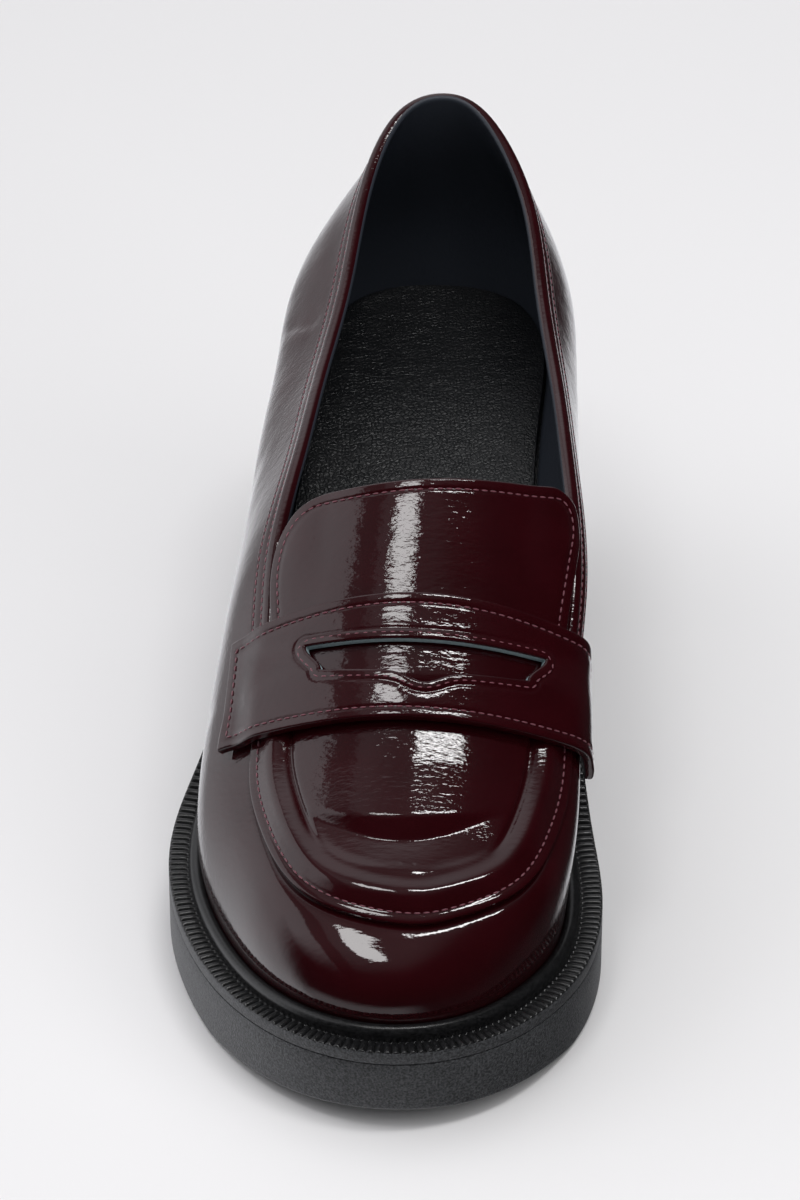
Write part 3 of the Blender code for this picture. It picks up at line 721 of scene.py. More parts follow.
def patent_leather(name, paint):
    """Cowhide under a clear polyurethane coat: a very dark red that shows its colour only where it
    faces the light, mirror-like highlights, and fine wrinkles that fray the edges of those highlights.
    The leather is drawn tight over the toe, so it is smooth there, and looser round the heel."""
    values = {"Roughness": 0.38, "Specular IOR Level": 0.04}
    values.update({"Coat Weight": 1.0, "Coat Roughness": 0.04, "Coat IOR": 1.55})
    made, tree, shader = new_finish(name, paint.oxblood, values)
    place = added(tree, "ShaderNodeTexCoord").outputs["Object"]
    along = added(tree, "ShaderNodeSeparateXYZ", {"Vector": place}).outputs["Y"]
    strengths = []
    for start, end, least in (SLACK, WRINKLES):
        spans = {"Value": along, "From Min": start, "From Max": end, "To Min": least, "To Max": 1.0}
        strengths.append(added(tree, "ShaderNodeMapRange", spans).outputs["Result"])
    broad, slopes = grained(tree, shader, (13, 9, 10), 0.3, 1.5, None, strengths[0])
    _, slopes = grained(tree, shader, (2.6, 0.9, 1.3), 0.08, 3.0, slopes, strengths[1])
    tree.links.new(slopes, shader.inputs["Coat Normal"])
    tinted(tree, shader, broad, paint.oxblood, (0.8, 1.3))
    return made


def lining_leather(name, paint):
    """Smooth pigmented lining leather: blue-black and nearly matte, with a faint even grain."""
    made, tree, shader = new_finish(name, paint.lining, {"Roughness": 0.5})
    grained(tree, shader, (0.9,) * 3, 0.08, 3.0, None, 0.7)
    return made


def sock_leather(name, paint):
    """Black grained sheepskin: pebbles about 1 mm wide with soft creases, whose tops catch the light."""
    made, tree, shader = new_finish(name, paint.sock, {"Roughness": 0.4})
    _, creases = grained(tree, shader, (7, 3.5, 5), 0.35, 4.0)
    inputs = {"Vector": stretched(tree, (1.0,) * 3), "Scale": 1.0}
    pebbles = added(tree, "ShaderNodeTexVoronoi", inputs, feature="DISTANCE_TO_EDGE")
    valleys = added(tree, "ShaderNodeValToRGB", {"Fac": pebbles.outputs["Distance"]})
    valleys.color_ramp.elements[1].position = 0.22
    inputs = {"Height": valleys.outputs["Color"], "Normal": creases, "Strength": 0.7, "Distance": 0.12 * MM}
    pebbled = added(tree, "ShaderNodeBump", inputs).outputs["Normal"]
    grained(tree, shader, (1 / 0.7,) * 3, 0.2, 2.0, pebbled, 0.6)
    return made


def cut_edge(name, paint):
    """The slot's cut leather edge, left grey-green and fibrous: the one pale line on the strap."""
    made, tree, shader = new_finish(name, paint.cut_edge, {"Roughness": 0.7})
    inputs = {"Vector": stretched(tree, (0.35,) * 3), "Scale": 1.0, "Detail": 2.0}
    fibres = added(tree, "ShaderNodeTexNoise", inputs).outputs["Fac"]
    tinted(tree, shader, fibres, paint.cut_edge, (0.45, 1.3))
    return made


def polyester_thread(name, paint):
    """Bonded polyester sewing thread, a shade paler and redder than the leather, with a soft sheen."""
    made, tree, shader = new_finish(name, paint.thread, {"Roughness": 0.45, "Sheen Weight": 0.3})
    grained(tree, shader, (0.25,) * 3, 0.05, strength=0.5)
    return made


# The colour, roughness, and grain size and depth in millimetres of each moulded rubber.
RUBBERS = {
    "sole_rubber_black": ("rubber", 0.5, 0.5, 0.22),
    "welt_rubber_black": ("heel", 0.3, 0.6, 0.03),
    "lift_rubber_black": ("heel", 0.62, 0.5, 0.05),
}


def moulded_rubber(name, paint):
    """Black thermoplastic rubber from a spark-eroded mould: an even satin with a fine sandy grain. Its colour
    is painted lighter on the grain's raised points, as painted glints, and darker in its pits, as painted
    shade."""
    which, roughness, grain_mm, depth_mm = RUBBERS[name]
    colour = getattr(paint, which)
    made, tree, shader = new_finish(name, colour, {"Roughness": roughness})
    grain, _ = grained(tree, shader, (grain_mm,) * 3, depth_mm)
    # Painted glints and painted shade: the colour is half as bright in the grain's pits and twice as bright
    # on its points.
    tinted(tree, shader, grain, colour, (0.5, 2.0), (0.35, 0.68))
    return made


def treaded_rubber(name, paint):
    """The sole's underside: the same rubber with moulded ribs 4 mm apart across the tread."""
    made, tree, shader = new_finish(name, paint.rubber, {"Roughness": 0.65})
    inputs = {"Vector": stretched(tree, (1000, 4.0, 1000)), "Scale": 1 / math.pi}
    ribs = added(tree, "ShaderNodeTexWave", inputs, bands_direction="Y")
    inputs = {"Height": ribs.outputs["Fac"], "Strength": 1.0, "Distance": 0.8 * MM}
    relief = added(tree, "ShaderNodeBump", inputs)
    tree.links.new(relief.outputs["Normal"], shader.inputs["Normal"])
    return made


def heel_lacquer(name, paint):
    """A moulded heel in black lacquer: smooth, with the slight waviness of a sprayed coat."""
    values = {"Roughness": 0.32, "Coat Weight": 0.35, "Coat Roughness": 0.18}
    made, tree, shader = new_finish(name, paint.heel, values)
    grained(tree, shader, (2.5,) * 3, 0.04, 1.0)
    return made


MAKERS = {
    "patent_leather_oxblood": patent_leather,
    "lining_leather_blue_black": lining_leather,
    "sock_leather_black_grained": sock_leather,
    "leather_cut_edge": cut_edge,
    "thread_burgundy_polyester": polyester_thread,
    "sole_rubber_tread": treaded_rubber,
    "heel_lacquer_black": heel_lacquer,
}
LEATHER = ("patent_leather_oxblood", "lining_leather_blue_black")


# What a user would change.


def colour_prop(name, what, code):
    """A colour, from its sRGB code."""
    return FloatVectorProperty(
        name=name, description=f"Colour of {what}", subtype="COLOR", default=linear(code)
    )


def length_prop(name, what, length_mm):
    """A length, from its millimetres."""
    return FloatProperty(name=name, description=what, default=length_mm * MM, unit="LENGTH")


class LoaferColours(bpy.types.PropertyGroup):
    """The colours of the shoe and its floor"""

    oxblood: colour_prop("Leather", "the patent leather", "#260509")
    lining: colour_prop("Lining", "the lining leather", "#2b2f37")
    sock: colour_prop("Sock", "the grained insole", "#0f1012")
    thread: colour_prop("Thread", "the stitching", "#6a3642")
    cut_edge: colour_prop("Cut edge", "the slot's cut edge", "#8c9ea3")
    rubber: colour_prop("Sole", "the sole's rubber", "#37383a")
    heel: colour_prop("Heel", "the heel's lacquer", "#151516")
    floor: colour_prop("Floor", "the studio floor", "#e8e7e8")


class LoaferSizes(bpy.types.PropertyGroup):
    """The sizes of the seams and of the welt's ribs"""

    stitch_pitch: length_prop("Stitch pitch", "From one stitch to the next", 2.0)
    stitch_length: length_prop("Stitch length", "Thread seen in one stitch", 1.4)
    thread_width: length_prop("Thread width", "Thickness of the thread", 0.4)
    seam_inset: length_prop("Seam inset", "From a cut edge to its row of stitches", 2.5)
    rib_pitch: length_prop("Rib pitch", "From one rib of the welt to the next", 1.9)
    rib_depth: length_prop("Rib depth", "Depth between the welt's ribs", 0.7)
    ribs_each: IntProperty(
        name="Facets of a rib", description="Facets round one rib of the welt", default=6, min=4, max=10
    )


def sizes():
    """The sizes that a user would change."""
    return bpy.context.scene.loafer_sizes


def colours():
    """The colours that a user would change."""
    return bpy.context.scene.loafer_colours


def finish(name):
    """One of the shoe's materials, made when it is first wanted."""
    return bpy.data.materials.get(name) or MAKERS.get(name, moulded_rubber)(name, colours())


# Forms of the leather.

# Soft troughs and ridges on the quarters and the vamp, drawn in the side view. A negative depth is a ridge.
CREASES = table(
    "place side along up to_along to_up depth half",
    ("dent under the collar", -1, 50.0, 83.0, 56.0, 88.0, 0.5, 1.7),
    ("ridge beside it", -1, 52.0, 80.0, 58.0, 85.0, -0.25, 1.6),
    ("quarter pull", -1, 92.0, 70.0, 112.0, 50.0, 0.3, 4.0),
    ("quarter pull", 1, 92.0, 70.0, 110.0, 50.0, 0.3, 4.0),
    ("waist swell", -1, 70.0, 66.0, 96.0, 60.0, -0.35, 6.0),
    ("waist swell", 1, 70.0, 66.0, 96.0, 60.0, -0.35, 6.0),
    ("joint fold", -1, 150.0, 30.0, 156.0, 46.0, 0.3, 2.6),
    ("joint fold", 1, 150.0, 30.0, 156.0, 46.0, 0.3, 2.6),
)


def creased(points):
    """How far the creases raise each place of the upper's wall."""
    raised = np.zeros(len(points))
    side_view = points[:, 1:]
    for crease in CREASES:
        line = np.array([[crease.along, crease.up], [crease.to_along, crease.to_up]])
        away = distance_to(side_view, line)
        on_side = points[:, 0] * crease.side > 0
        raised -= on_side * crease.depth * np.exp(-((away / crease.half) ** 2))
    return raised


def rounded(distance, radius):
    """How far a cut edge's corner has fallen at a distance from the edge."""
    share = np.clip(distance / radius, 0, 1)
    return radius * (1 - np.sqrt(np.clip(1 - (1 - share) ** 2, 0, 1)))


COLLAR_STITCHES = (3.6, 6.2)
BINDING_WIDTH = 7.2
BINDING_ENDS = (168, 177)


def collar_form(depth, along):
    """How far the collar stands out at a depth below its edge: a rolled fold, a padded band between
    two rows of stitches, and the binding's own edge."""
    form = 0.45 * smooth(BINDING_WIDTH, BINDING_WIDTH - 0.4, depth) + 0.45 * bump(depth, 1.9, 1.2)
    for row in COLLAR_STITCHES:
        form = form - 0.28 * bump(depth, row, 0.4)
    form = form - rounded(depth, 1.0)
    front = -0.25 * bump(depth, 0.0, 0.7)
    fades = smooth(*BINDING_ENDS, along)
    return form * (1 - fades) + front * fades


PLUG_SWELLS = (191.0, 0.8)
PLUG_FALLS = (203.4, 208.0, 2.0)
PLUG_RISES = (208.4, 214.8, 1.2)
PLUG_DIP_REACH = 17.0


def apron_form(inset, points):
    """How far the apron stands over the crown: a cut edge, its seam, a rolled ridge, a crease, and
    the plug's shallow dip over the toes."""
    across, along = points[:, 0], points[:, 1]
    ridge = RIDGE_RISE * bump(inset, RIDGE_IN, RIDGE_HALF) * (1 - 0.3 * smooth(200, 215, along))
    crease = CREASE_DEPTH * bump(inset, CREASE_IN, CREASE_HALF) * (1 - smooth(200, 210, along))
    seam = SEAM_GROOVE * bump(inset, APRON_SEAM, SEAM_HALF)
    shows = smooth(THROAT - 10, STRAP_FRONT - 9, along)
    step = APRON_STEP - rounded(inset, 0.45)
    side = ((across - 1.0) / PLUG_DIP_REACH) ** 2
    falls, ends, rises = PLUG_FALLS[0] - 3 * side, PLUG_FALLS[1] - 6 * side, PLUG_RISES[0] - 6 * side
    dip = PLUG_FALLS[2] * np.clip((along - falls) / np.maximum(ends - falls, 0.5), 0, 1)
    swells = (along - PLUG_SWELLS[0]) / np.maximum(falls - PLUG_SWELLS[0], 0.5)
    dip = dip - PLUG_SWELLS[1] * np.clip(swells, 0, 1)
    dip = dip - PLUG_RISES[2] * np.clip((along - rises) / (PLUG_RISES[1] - rises), 0, 1)
    dip = dip * np.exp(-(side**2)) * smooth(CREASE_IN, CREASE_IN + 2, inset)
    return step * smooth(0.0, 0.1, inset) + (ridge - crease - seam) * shows - dip


VAMP_SWELL = 0.5
VAMP_SWELL_DEPTH = 9.0
VAMP_SWELL_HALF = 6.0
VAMP_SWELL_ACROSS = -7.0


def vamp_form(depth, top):
    """How far the vamp swells at a depth below the apron's edge, round the toe."""
    low = bump(depth, VAMP_SWELL_DEPTH, VAMP_SWELL_HALF)
    swell = VAMP_SWELL * low * bump(top[:, 0], VAMP_SWELL_ACROSS, 24)
    tuck = 0.35 * bump(depth, 0.0, 1.7)
    return (swell - tuck) * smooth(196, 218, top[:, 1])


def upper_sheet():
    """The upper's skin with its forms: points, faces, how far each is raised, and how thick it is there."""
    section = ring(ring_places(UPPER_COLUMNS))
    count = 2 * sum(UPPER_COLUMNS)
    top = section["top"]
    high = np.linalg.norm(top - section["girth"], axis=1)
    low = np.linalg.norm(section["girth"] - section["foot"], axis=1)
    turn = 2 - COLLAR_DEPTHS[-1] / high
    heights = [turn * k / WALL_BELOW for k in range(WALL_BELOW)]
    heights += [2 - depth / high for depth in COLLAR_DEPTHS[::-1]]
    rows, raised, thick = [], [], []
    for height in heights:
        points = wall_points(section, height)
        depth = np.where(height > 1, (2 - height) * high, high + (1 - height) * low)
        rows.append(points)
        raised.append(creased(points) + collar_form(depth, top[:, 1]) + vamp_form(depth, top))
        thick.append(WALL - rounded(depth, 0.9) * (1 - smooth(*BINDING_ENDS, top[:, 1])))
    points, faces = skinned(rows)
    cover = np.arange(UPPER_COLUMNS[0], count - UPPER_COLUMNS[0] + 1)
    edge, inward = top[cover], section["top_in"][cover]
    loop = np.arange(len(points) - count, len(points))[cover]
    for inset in APRON_INSETS:
        placed = edge.copy()
        placed[:, :2] += inward * inset
        placed = on_crown(placed)
        new = np.arange(len(points), len(points) + len(cover))
        points = np.vstack([points, placed])
        raised.append(apron_form(np.full(len(cover), inset), placed))
        faces += [(loop[i], loop[i + 1], new[i + 1], new[i]) for i in range(len(cover) - 1)]
        loop = new
    start = len(points)
    pairs = [(loop[i], loop[-1 - i]) for i in range(len(cover) // 2 + 1)]
    points, across = laddered(points, pairs, APRON_ACROSS, lambda line, *_: on_crown(line))
    plug = points[start:]
    raised = np.concatenate([*raised, apron_form(distance_to(plug, edge), plug)])
    thick = np.concatenate([*thick, np.full(len(points) - len(thick) * count, WALL)])
    return points, faces + across, raised, thick


def tongue_top(reach):
    """How far along the tongue's top edge is, at a reach."""
    side = reach / TONGUE_REACH
    return TONGUE_TOP - TONGUE_BOW * side**2 - TONGUE_SKEW * side


def tongue_over(up, reach):
    """How far the tongue's underside stands over the skin. up is 0 under the strap and 1 at the top."""
    return GAP + TONGUE_LIFT * smooth(0.4, 0.8, up) * smooth(22, 32, np.abs(reach))


def tongue_sheet():
    """The tongue's grid of (along, reach) and how far it lies over the skin."""
    front = THROAT - TONGUE_SHORT
    near = np.array([0.0, 0.1, 0.25, 0.45, 0.75, 1.1, 1.5, 1.9, 2.2, 2.5, 2.8, 3.2, 3.8, 4.6]) / TONGUE_REACH
    shares = np.r_[1 - near, np.linspace(1 - near[-1], -1 + near[-1], 66)[1:-1], (-1 + near)[::-1]]
    turns = np.r_[np.linspace(0, 0.9, 26)[:-1], np.linspace(0.9, math.pi / 2, 46)]
    alongs, reaches, overs = [], [], []
    for turn in turns:
        up = math.sin(turn)
        halves = []
        for corner in TONGUE_CORNERS:
            cut = max(0.0, corner - (1 - up) * (front - TONGUE_TOP))
            half = TONGUE_REACH - corner + math.sqrt(corner**2 - cut**2)
            halves.append(half - TONGUE_NARROWS * (1 - up))
        reach = TONGUE_MIDDLE + shares * np.where(shares < 0, *halves)
        alongs.append(front + up * (tongue_top(reach) - front))
        reaches.append(reach)
        overs.append(tongue_over(up, reach))
    return np.array(alongs), np.array(reaches), np.array(overs)


def strap_edges(reach):
    """(front, back) of the strap, as places along, at a reach."""
    bow = (np.asarray(reach, float) / STRAP_REACH) ** 2
    return STRAP_FRONT - STRAP_FRONT_BOW * bow, STRAP_BACK - STRAP_BACK_BOW * bow


def strap_over(along, reach):
    """How far the strap's underside stands over the skin."""
    front, back = strap_edges(reach)
    width = (front - along) / (front - back)
    over = STRAP_HIGH + STRAP_OVER_APRON * (1 - smooth(STRAP_OVER_FROM, STRAP_OVER_TO, width))
    over = over - STRAP_FRONT_DIP * (1 - smooth(0.0, STRAP_OVER_FROM, width))
    over = over * (1 - smooth(STRAP_EASES, STRAP_REACH - 4, np.abs(reach)))
    flare = STRAP_FLARE * smooth(STRAP_REACH - 12, STRAP_REACH, np.abs(reach)) * (1 - smooth(0, 0.4, width))
    return GAP + STRAP_LOW + over + flare


def slot_edges(share):
    """(front, back) of the slot as shares of the strap's width. share is -1 to 1 along the slot."""
    front = SLOT_FRONT[0] + SLOT_FRONT[1] * share**2
    back = SLOT_BACK[0] + SLOT_BACK[1] * share**2
    return front - SLOT_PEAK * np.exp(-((share / SLOT_PEAK_HALF) ** 2)), back


NEAR_EDGE = np.array([0.0, 0.08, 0.2, 0.4, 0.7, 1.1, 1.5, 1.9, 2.2, 2.5, 2.8, 3.1, 3.5])


def near_both(span, first=NEAR_EDGE, last=NEAR_EDGE, middle=1.0):
    """Shares of a span in millimetres, close together near both of its edges."""
    filled = np.linspace(first[-1], span - last[-1], max(2, int((span - first[-1] - last[-1]) / middle)) + 1)
    return np.r_[first, filled[1:-1], span - last[::-1]] / span


def strap_sheet():
    """The strap's grid of (along, reach), and which of its cells the slot leaves out."""
    end_columns = near_both(24.0)[:-1]
    slot_columns = np.cos(np.linspace(math.pi, 0, 65))
    places = [("end", -1, run) for run in end_columns]
    places += [("slot", share, 0) for share in slot_columns]
    places += [("end", 1, run) for run in end_columns[::-1]]
    band = near_both(9.8)
    slot_rows = (1 - np.cos(np.linspace(0, math.pi, 15))) / 2
    alongs, reaches = [], []
    for kind, share, run in places:
        front, back = slot_edges(share if kind == "slot" else math.copysign(1, share))
        widths = np.r_[band * front, front + slot_rows[1:-1] * (back - front), back + band * (1 - back)]
        slot_reach = SLOT_FRONT_REACH + (SLOT_BACK_REACH - SLOT_FRONT_REACH) * smooth(front, back, widths)
        reach = SLOT_MIDDLE + share * slot_reach
        if kind == "end":
            reach = share * STRAP_REACH + (reach - share * STRAP_REACH) * run
        ahead, behind = strap_edges(reach)
        alongs.append(ahead + widths * (behind - ahead))
        reaches.append(reach)
    first_cell = len(end_columns), len(band) - 1
    last_cell = len(end_columns) + len(slot_columns) - 1, len(band) + len(slot_rows) - 2
    return np.array(alongs), np.array(reaches), first_cell, last_cell


def grid_border(grid):
    """The border of a grid of places, as a closed line."""
    return np.vstack([grid[0], grid[1:, -1], grid[-1, -2::-1], grid[-2::-1, 0]])


def inset_line(outline, inset, stretch):
    """A line inside a closed outline of (along, reach). stretch is surface length for each unit along."""
    flat = outline * [stretch, 1.0]
    flat = np.vstack([flat, flat[:1]])
    gone = gone_along(flat)
    flat = read_along(flat, gone, spaced(gone, 0.5))
    square = plan_normals(flat)
    area = np.sum(flat[:, 0] * np.roll(flat[:, 1], -1) - np.roll(flat[:, 0], -1) * flat[:, 1])
    moved = flat - square * inset * math.copysign(1, area)
    away = distance_to(moved, np.vstack([flat, flat[:1]]))
    return moved[away > abs(inset) - 0.06] / [stretch, 1.0]


def band_lift(away, thick):
    """How thick a band of leather is at a distance from its edge, with a groove for its seam."""
    return thick - rounded(away, EDGE_RADIUS) - SEAM_GROOVE * bump(away, sizes().seam_inset / MM, SEAM_HALF)


def thread_rows(name, rows):
    """Rows of stitches as one piece. Each row is places and the directions square to them. One stitch
    is modelled and copied."""
    size = sizes()
    deselect_all()
    bpy.ops.mesh.primitive_uv_sphere_add(segments=8, ring_count=6, radius=0.5)
    pattern = bpy.context.object
    bpy.ops.object.mode_set(mode="EDIT")
    bpy.ops.mesh.select_all(action="SELECT")
    bpy.ops.transform.rotate(value=math.pi / 2, orient_axis="Y", center_override=(0, 0, 0))
    bpy.ops.object.mode_set(mode="OBJECT")
    corners = np.array([vertex.co for vertex in pattern.data.vertices])
    corners *= np.array([size.stitch_length, size.thread_width, size.thread_width * 0.8]) / MM
    stitch = [tuple(polygon.vertices) for polygon in pattern.data.polygons]
    bpy.data.objects.remove(pattern)
    half = size.stitch_length / MM / 2
    points = []
    for line, squares in rows:
        gone = gone_along(line)
        where = spaced(gone, size.stitch_pitch / MM)
        run = unit(read_along(line, gone, where + half) - read_along(line, gone, where - half))
        square = read_along(squares, gone, where)
        square = unit(square - run * (square * run).sum(axis=1, keepdims=True))
        axes = np.stack([run, np.cross(square, run), square], axis=1)
        points += list(read_along(line, gone, where)[:, None] + corners @ axes)
    faces = [tuple(k * len(corners) + i for i in face) for k in range(len(points)) for face in stitch]
    settle(grown(name, np.vstack(points), faces, ["thread_burgundy_polyester"], sharp=80), "patent_leather")


class MESH_OT_loafer_upper(bpy.types.Operator):
    """The hollow upper with its apron, collar binding, lining and seams"""

    bl_idname = "mesh.loafer_upper"
    bl_label = "Upper"

    def execute(self, context):
        points, faces, raised, thick = upper_sheet()
        finishes = [*LEATHER, LEATHER[0]]
        upper = walled("upper_leather", points, faces, finishes, raised, thick)
        settle(upper, "patent_leather", "upper")
        section = ring(ring_places(UPPER_COLUMNS))
        count = 2 * sum(UPPER_COLUMNS)
        high = np.linalg.norm(section["top"] - section["girth"], axis=1)
        behind = np.r_[np.arange(count - UPPER_COLUMNS[0] + 2, count), np.arange(0, UPPER_COLUMNS[0] - 1)]
        rows = []
        for depth in COLLAR_STITCHES:
            line = wall_points(section, 2 - depth / high)
            below = wall_points(section, 2 - (depth + 0.5) / high)
            ahead = np.roll(line, -1, axis=0) - np.roll(line, 1, axis=0)
            square = unit(np.cross(ahead, below - line))
            if (square[:, 0] * line[:, 0]).sum() < 0:
                square = -square
            form = collar_form(np.full(count, depth), section["top"][:, 1])
            rows.append(((line + square * (form + THREAD_OVER)[:, None])[behind], square[behind]))
        cover = np.arange(UPPER_COLUMNS[0] + 1, count - UPPER_COLUMNS[0])
        line = section["top"][cover].copy()
        line[:, :2] += section["top_in"][cover] * APRON_SEAM
        line = on_crown(line)
        step = 0.5
        rises = [
            (crown(line[:, 0] + aside, line[:, 1] + ahead) - line[:, 2]) / step
            for aside, ahead in ((step, 0), (0, step))
        ]
        square = unit(np.column_stack([-rises[0], -rises[1], np.ones(len(line))]))
        form = apron_form(np.full(len(line), APRON_SEAM), line)
        rows.append((line + square * (form + THREAD_OVER)[:, None], square))
        thread_rows("upper_stitches", rows)
        return {"FINISHED"}


class MESH_OT_loafer_tongue(bpy.types.Operator):
    """The tongue, which lies over the quarters' edges behind the strap"""

    bl_idname = "mesh.loafer_tongue"
    bl_label = "Tongue"

    def execute(self, context):
        alongs, reaches, overs = tongue_sheet()
        grid, _ = laid(alongs, reaches, overs)
        points = grid.reshape(-1, 3)
        lift = band_lift(distance_to(points, grid_border(grid)), TONGUE_THICK)
        tongue = walled("tongue_leather", points, sheet_faces(*grid.shape[:2]), LEATHER, lift)
        settle(tongue, "patent_leather", "tongue")
        outline = grid_border(np.stack([alongs, reaches], axis=-1))
        seam = inset_line(outline, sizes().seam_inset / MM, TONGUE_STRETCH)
        seam = seam[seam[:, 0] < THROAT - 8]
        start = int(np.argmax(np.linalg.norm(np.diff(seam, axis=0), axis=1))) + 1
        along, reach = np.roll(seam, -start, axis=0).T
        front = THROAT - TONGUE_SHORT
        over = tongue_over((along - front) / (tongue_top(reach) - front), reach)
        thread_rows("tongue_stitches", [laid(along, reach, over + TONGUE_THICK - THREAD_SINKS)])
        return {"FINISHED"}


class MESH_OT_loafer_strap(bpy.types.Operator):
    """The saddle strap with its slot"""

    bl_idname = "mesh.loafer_strap"
    bl_label = "Strap"

    def execute(self, context):
        alongs, reaches, first, last = strap_sheet()
        grid, _ = laid(alongs, reaches, strap_over(alongs, reaches))
        rows, across = grid.shape[:2]
        points = grid.reshape(-1, 3)
        faces = []
        for k, face in enumerate(sheet_faces(rows, across)):
            r, c = divmod(k, across - 1)
            if not (first[0] <= r < last[0] and first[1] <= c < last[1]):
                faces.append(face)
        inside = slice(first[0], last[0] + 1), slice(first[1], last[1] + 1)
        slot = grid_border(grid[inside])
        away = np.minimum(distance_to(points, grid_border(grid)), distance_to(points, slot))
        slot_box = slot.min(axis=0) - 0.01, slot.max(axis=0) + 0.01

        def rim_kind(a, b):
            near_slot = all((slot_box[0] <= p).all() and (p <= slot_box[1]).all() for p in (a, b))
            return 2 if near_slot else 0

        finishes = [*LEATHER, "leather_cut_edge"]
        lift = band_lift(away, STRAP_THICK)
        strap = walled("strap_leather", points, faces, finishes, lift, rim_kind=rim_kind)
        settle(strap, "patent_leather", "strap")
        places = np.stack([alongs, reaches], axis=-1)
        rows = []
        for outline, inset in ((places, sizes().seam_inset / MM), (places[inside], -SLOT_SEAM)):
            seam = inset_line(grid_border(outline), inset, STRAP_STRETCH)
            along, reach = np.vstack([seam, seam[:1]]).T
            rows.append(laid(along, reach, strap_over(along, reach) + STRAP_THICK - THREAD_SINKS))
        thread_rows("strap_stitches", rows)
        return {"FINISHED"}


class MESH_OT_loafer_insole(bpy.types.Operator):
    """The grained sock, cupped a little at its edges"""

    bl_idname = "mesh.loafer_insole"
    bl_label = "Insole"

    def execute(self, context):
        section = ring(ring_places((96, 48)))
        loops = []
        for inset, height in ((0.5, 0.0), (0.0, 0.5), (0.0, INSOLE_THICK - 0.4), (0.15, INSOLE_THICK - 0.1)):
            loop = section["foot"].copy()
            loop[:, :2] -= section["out"] * (WALL + 0.35 + inset)
            loop[:, 2] += height
            loops.append(loop)
        points, faces = skinned(loops)
        count = len(loops[0])
        edge = np.arange(len(points) - count, len(points))

        def cupped(line, share, start):
            cup = 1 - np.abs(2 * share - 1) ** 3
            line[:, 2] += SOCK_RIM - SOCK_CUP * cup * smooth(5, 35, start[1])
            return line

        pairs = [(edge[i], edge[-i]) for i in range(count // 2 + 1)]
        points, over = laddered(points, pairs, SOCK_ACROSS, cupped)
        faces += ladder(count, 0) + over
        sock = grown("sock_leather", points, faces, ["sock_leather_black_grained"])
        settle(sock, "sock_leather", "insole")
        return {"FINISHED"}


def sole_outline(section, inset=0.0):
    """The sole's edge in plan, or a line that runs inside it."""
    return section["sole"][:, :2] + section["out"] * (section["welt"] - inset)[:, None]


class MESH_OT_loafer_welt(bpy.types.Operator):
    """The welt: a rim, a ribbed band and a smooth bead against the upper"""

    bl_idname = "mesh.loafer_welt"
    bl_label = "Welt"

    def execute(self, context):
        size = sizes()
        fine = np.linspace(0, LAP[-1], 4001)
        edge = sole_outline(ring(fine[:-1]))
        gone = gone_along(np.vstack([edge, edge[:1]]))
        count = int(gone[-1] / (size.rib_pitch / MM)) * size.ribs_each
        section = ring(np.interp(np.arange(count) * gone[-1] / count, gone, fine))
        rib = np.abs(np.cos(np.pi * np.arange(count) / size.ribs_each)) ** 0.7
        floor = section["sole"][:, 2] + GAP
        out = section["out"]
        share = section["welt"] / WIDEST_WELT
        bead = BEAD_RISE * (BEAD_LEAST + (1 - BEAD_LEAST) * share)
        foot = section["foot"]
        wall = wall_points(section, 0.5)
        loops = []

        def add_loop(flat, height):
            loops.append(np.column_stack([flat, floor + height]))

        def against(height):
            up = (height / (wall[:, 2] - foot[:, 2]))[:, None]
            return foot[:, :2] + (wall[:, :2] - foot[:, :2]) * up

        for inset, height in WELT_SIDE:
            add_loop(sole_outline(section, inset * share), height)
        start = sole_outline(section, 0.3 * share)
        end = against(np.full(count, WELT_THICK)) + out * (BEAD_WIDTH * share + WELT_CLEAR)[:, None]
        depth = size.rib_depth / MM * np.minimum(1.0, share + 0.3)
        for across in (0.0, 0.06, 0.16, 0.4, 0.65, 0.88, 0.96, 1.0):
            shows = smooth(-0.12, 0.1, across) * (1 - smooth(0.9, 1.0, across))
            height = WELT_THICK - 0.12 * (1 - smooth(0.0, 0.1, across)) - depth * (1 - rib) * shows
            add_loop(start + (end - start) * across, height - BAND_FALL * smooth(0.8, 1.0, across))
        leans = math.cos(math.pi * BEAD_ENDS)
        for angle in np.linspace(0.1, BEAD_ENDS, 10):
            turned = math.pi * angle
            height = WELT_THICK - BAND_FALL * (1 - angle) + bead * math.sin(turned) ** 0.85
            clear = BEAD_WIDTH * (math.cos(turned) - leans) / (1 - leans)
            add_loop(against(height) + out * (clear * share + WELT_CLEAR)[:, None], height)
        add_loop(against(np.zeros(count)) + out * WELT_CLEAR, 0.0)
        points, faces = skinned(loops + loops[:1])
        kinds = np.zeros(len(faces), int)
        kinds[: (len(WELT_SIDE) - 1) * count] = 1
        finishes = ["welt_rubber_black", "sole_rubber_black"]
        welt = grown("welt_rim", points, faces, finishes, kinds, sharp=60)
        settle(welt, "sole_rubber", "welt")
        return {"FINISHED"}


class MESH_OT_loafer_outsole(bpy.types.Operator):
    """The moulded outsole, with its tread"""

    bl_idname = "mesh.loafer_outsole"
    bl_label = "Outsole"

    def execute(self, context):
        section = ring(ring_places((96, 80)))
        loops = []
        for inset, share, extra in SOLE_SIDE:
            up = section["under"] * (1 - share) + section["sole"][:, 2] * share + extra
            loops.append(np.column_stack([sole_outline(section, inset), up]))
        count = len(loops[0])
        points, faces = skinned(loops)
        under, over = ladder(count, 0), ladder(count, (len(loops) - 1) * count)
        kinds = [0] * len(faces) + [1] * len(under) + [0] * len(over)
        finishes = ["sole_rubber_black", "sole_rubber_tread"]
        outsole = grown("outsole_rubber", points, faces + under + over, finishes, kinds, sharp=35)
        settle(outsole, "sole_rubber", "outsole")
        return {"FINISHED"}


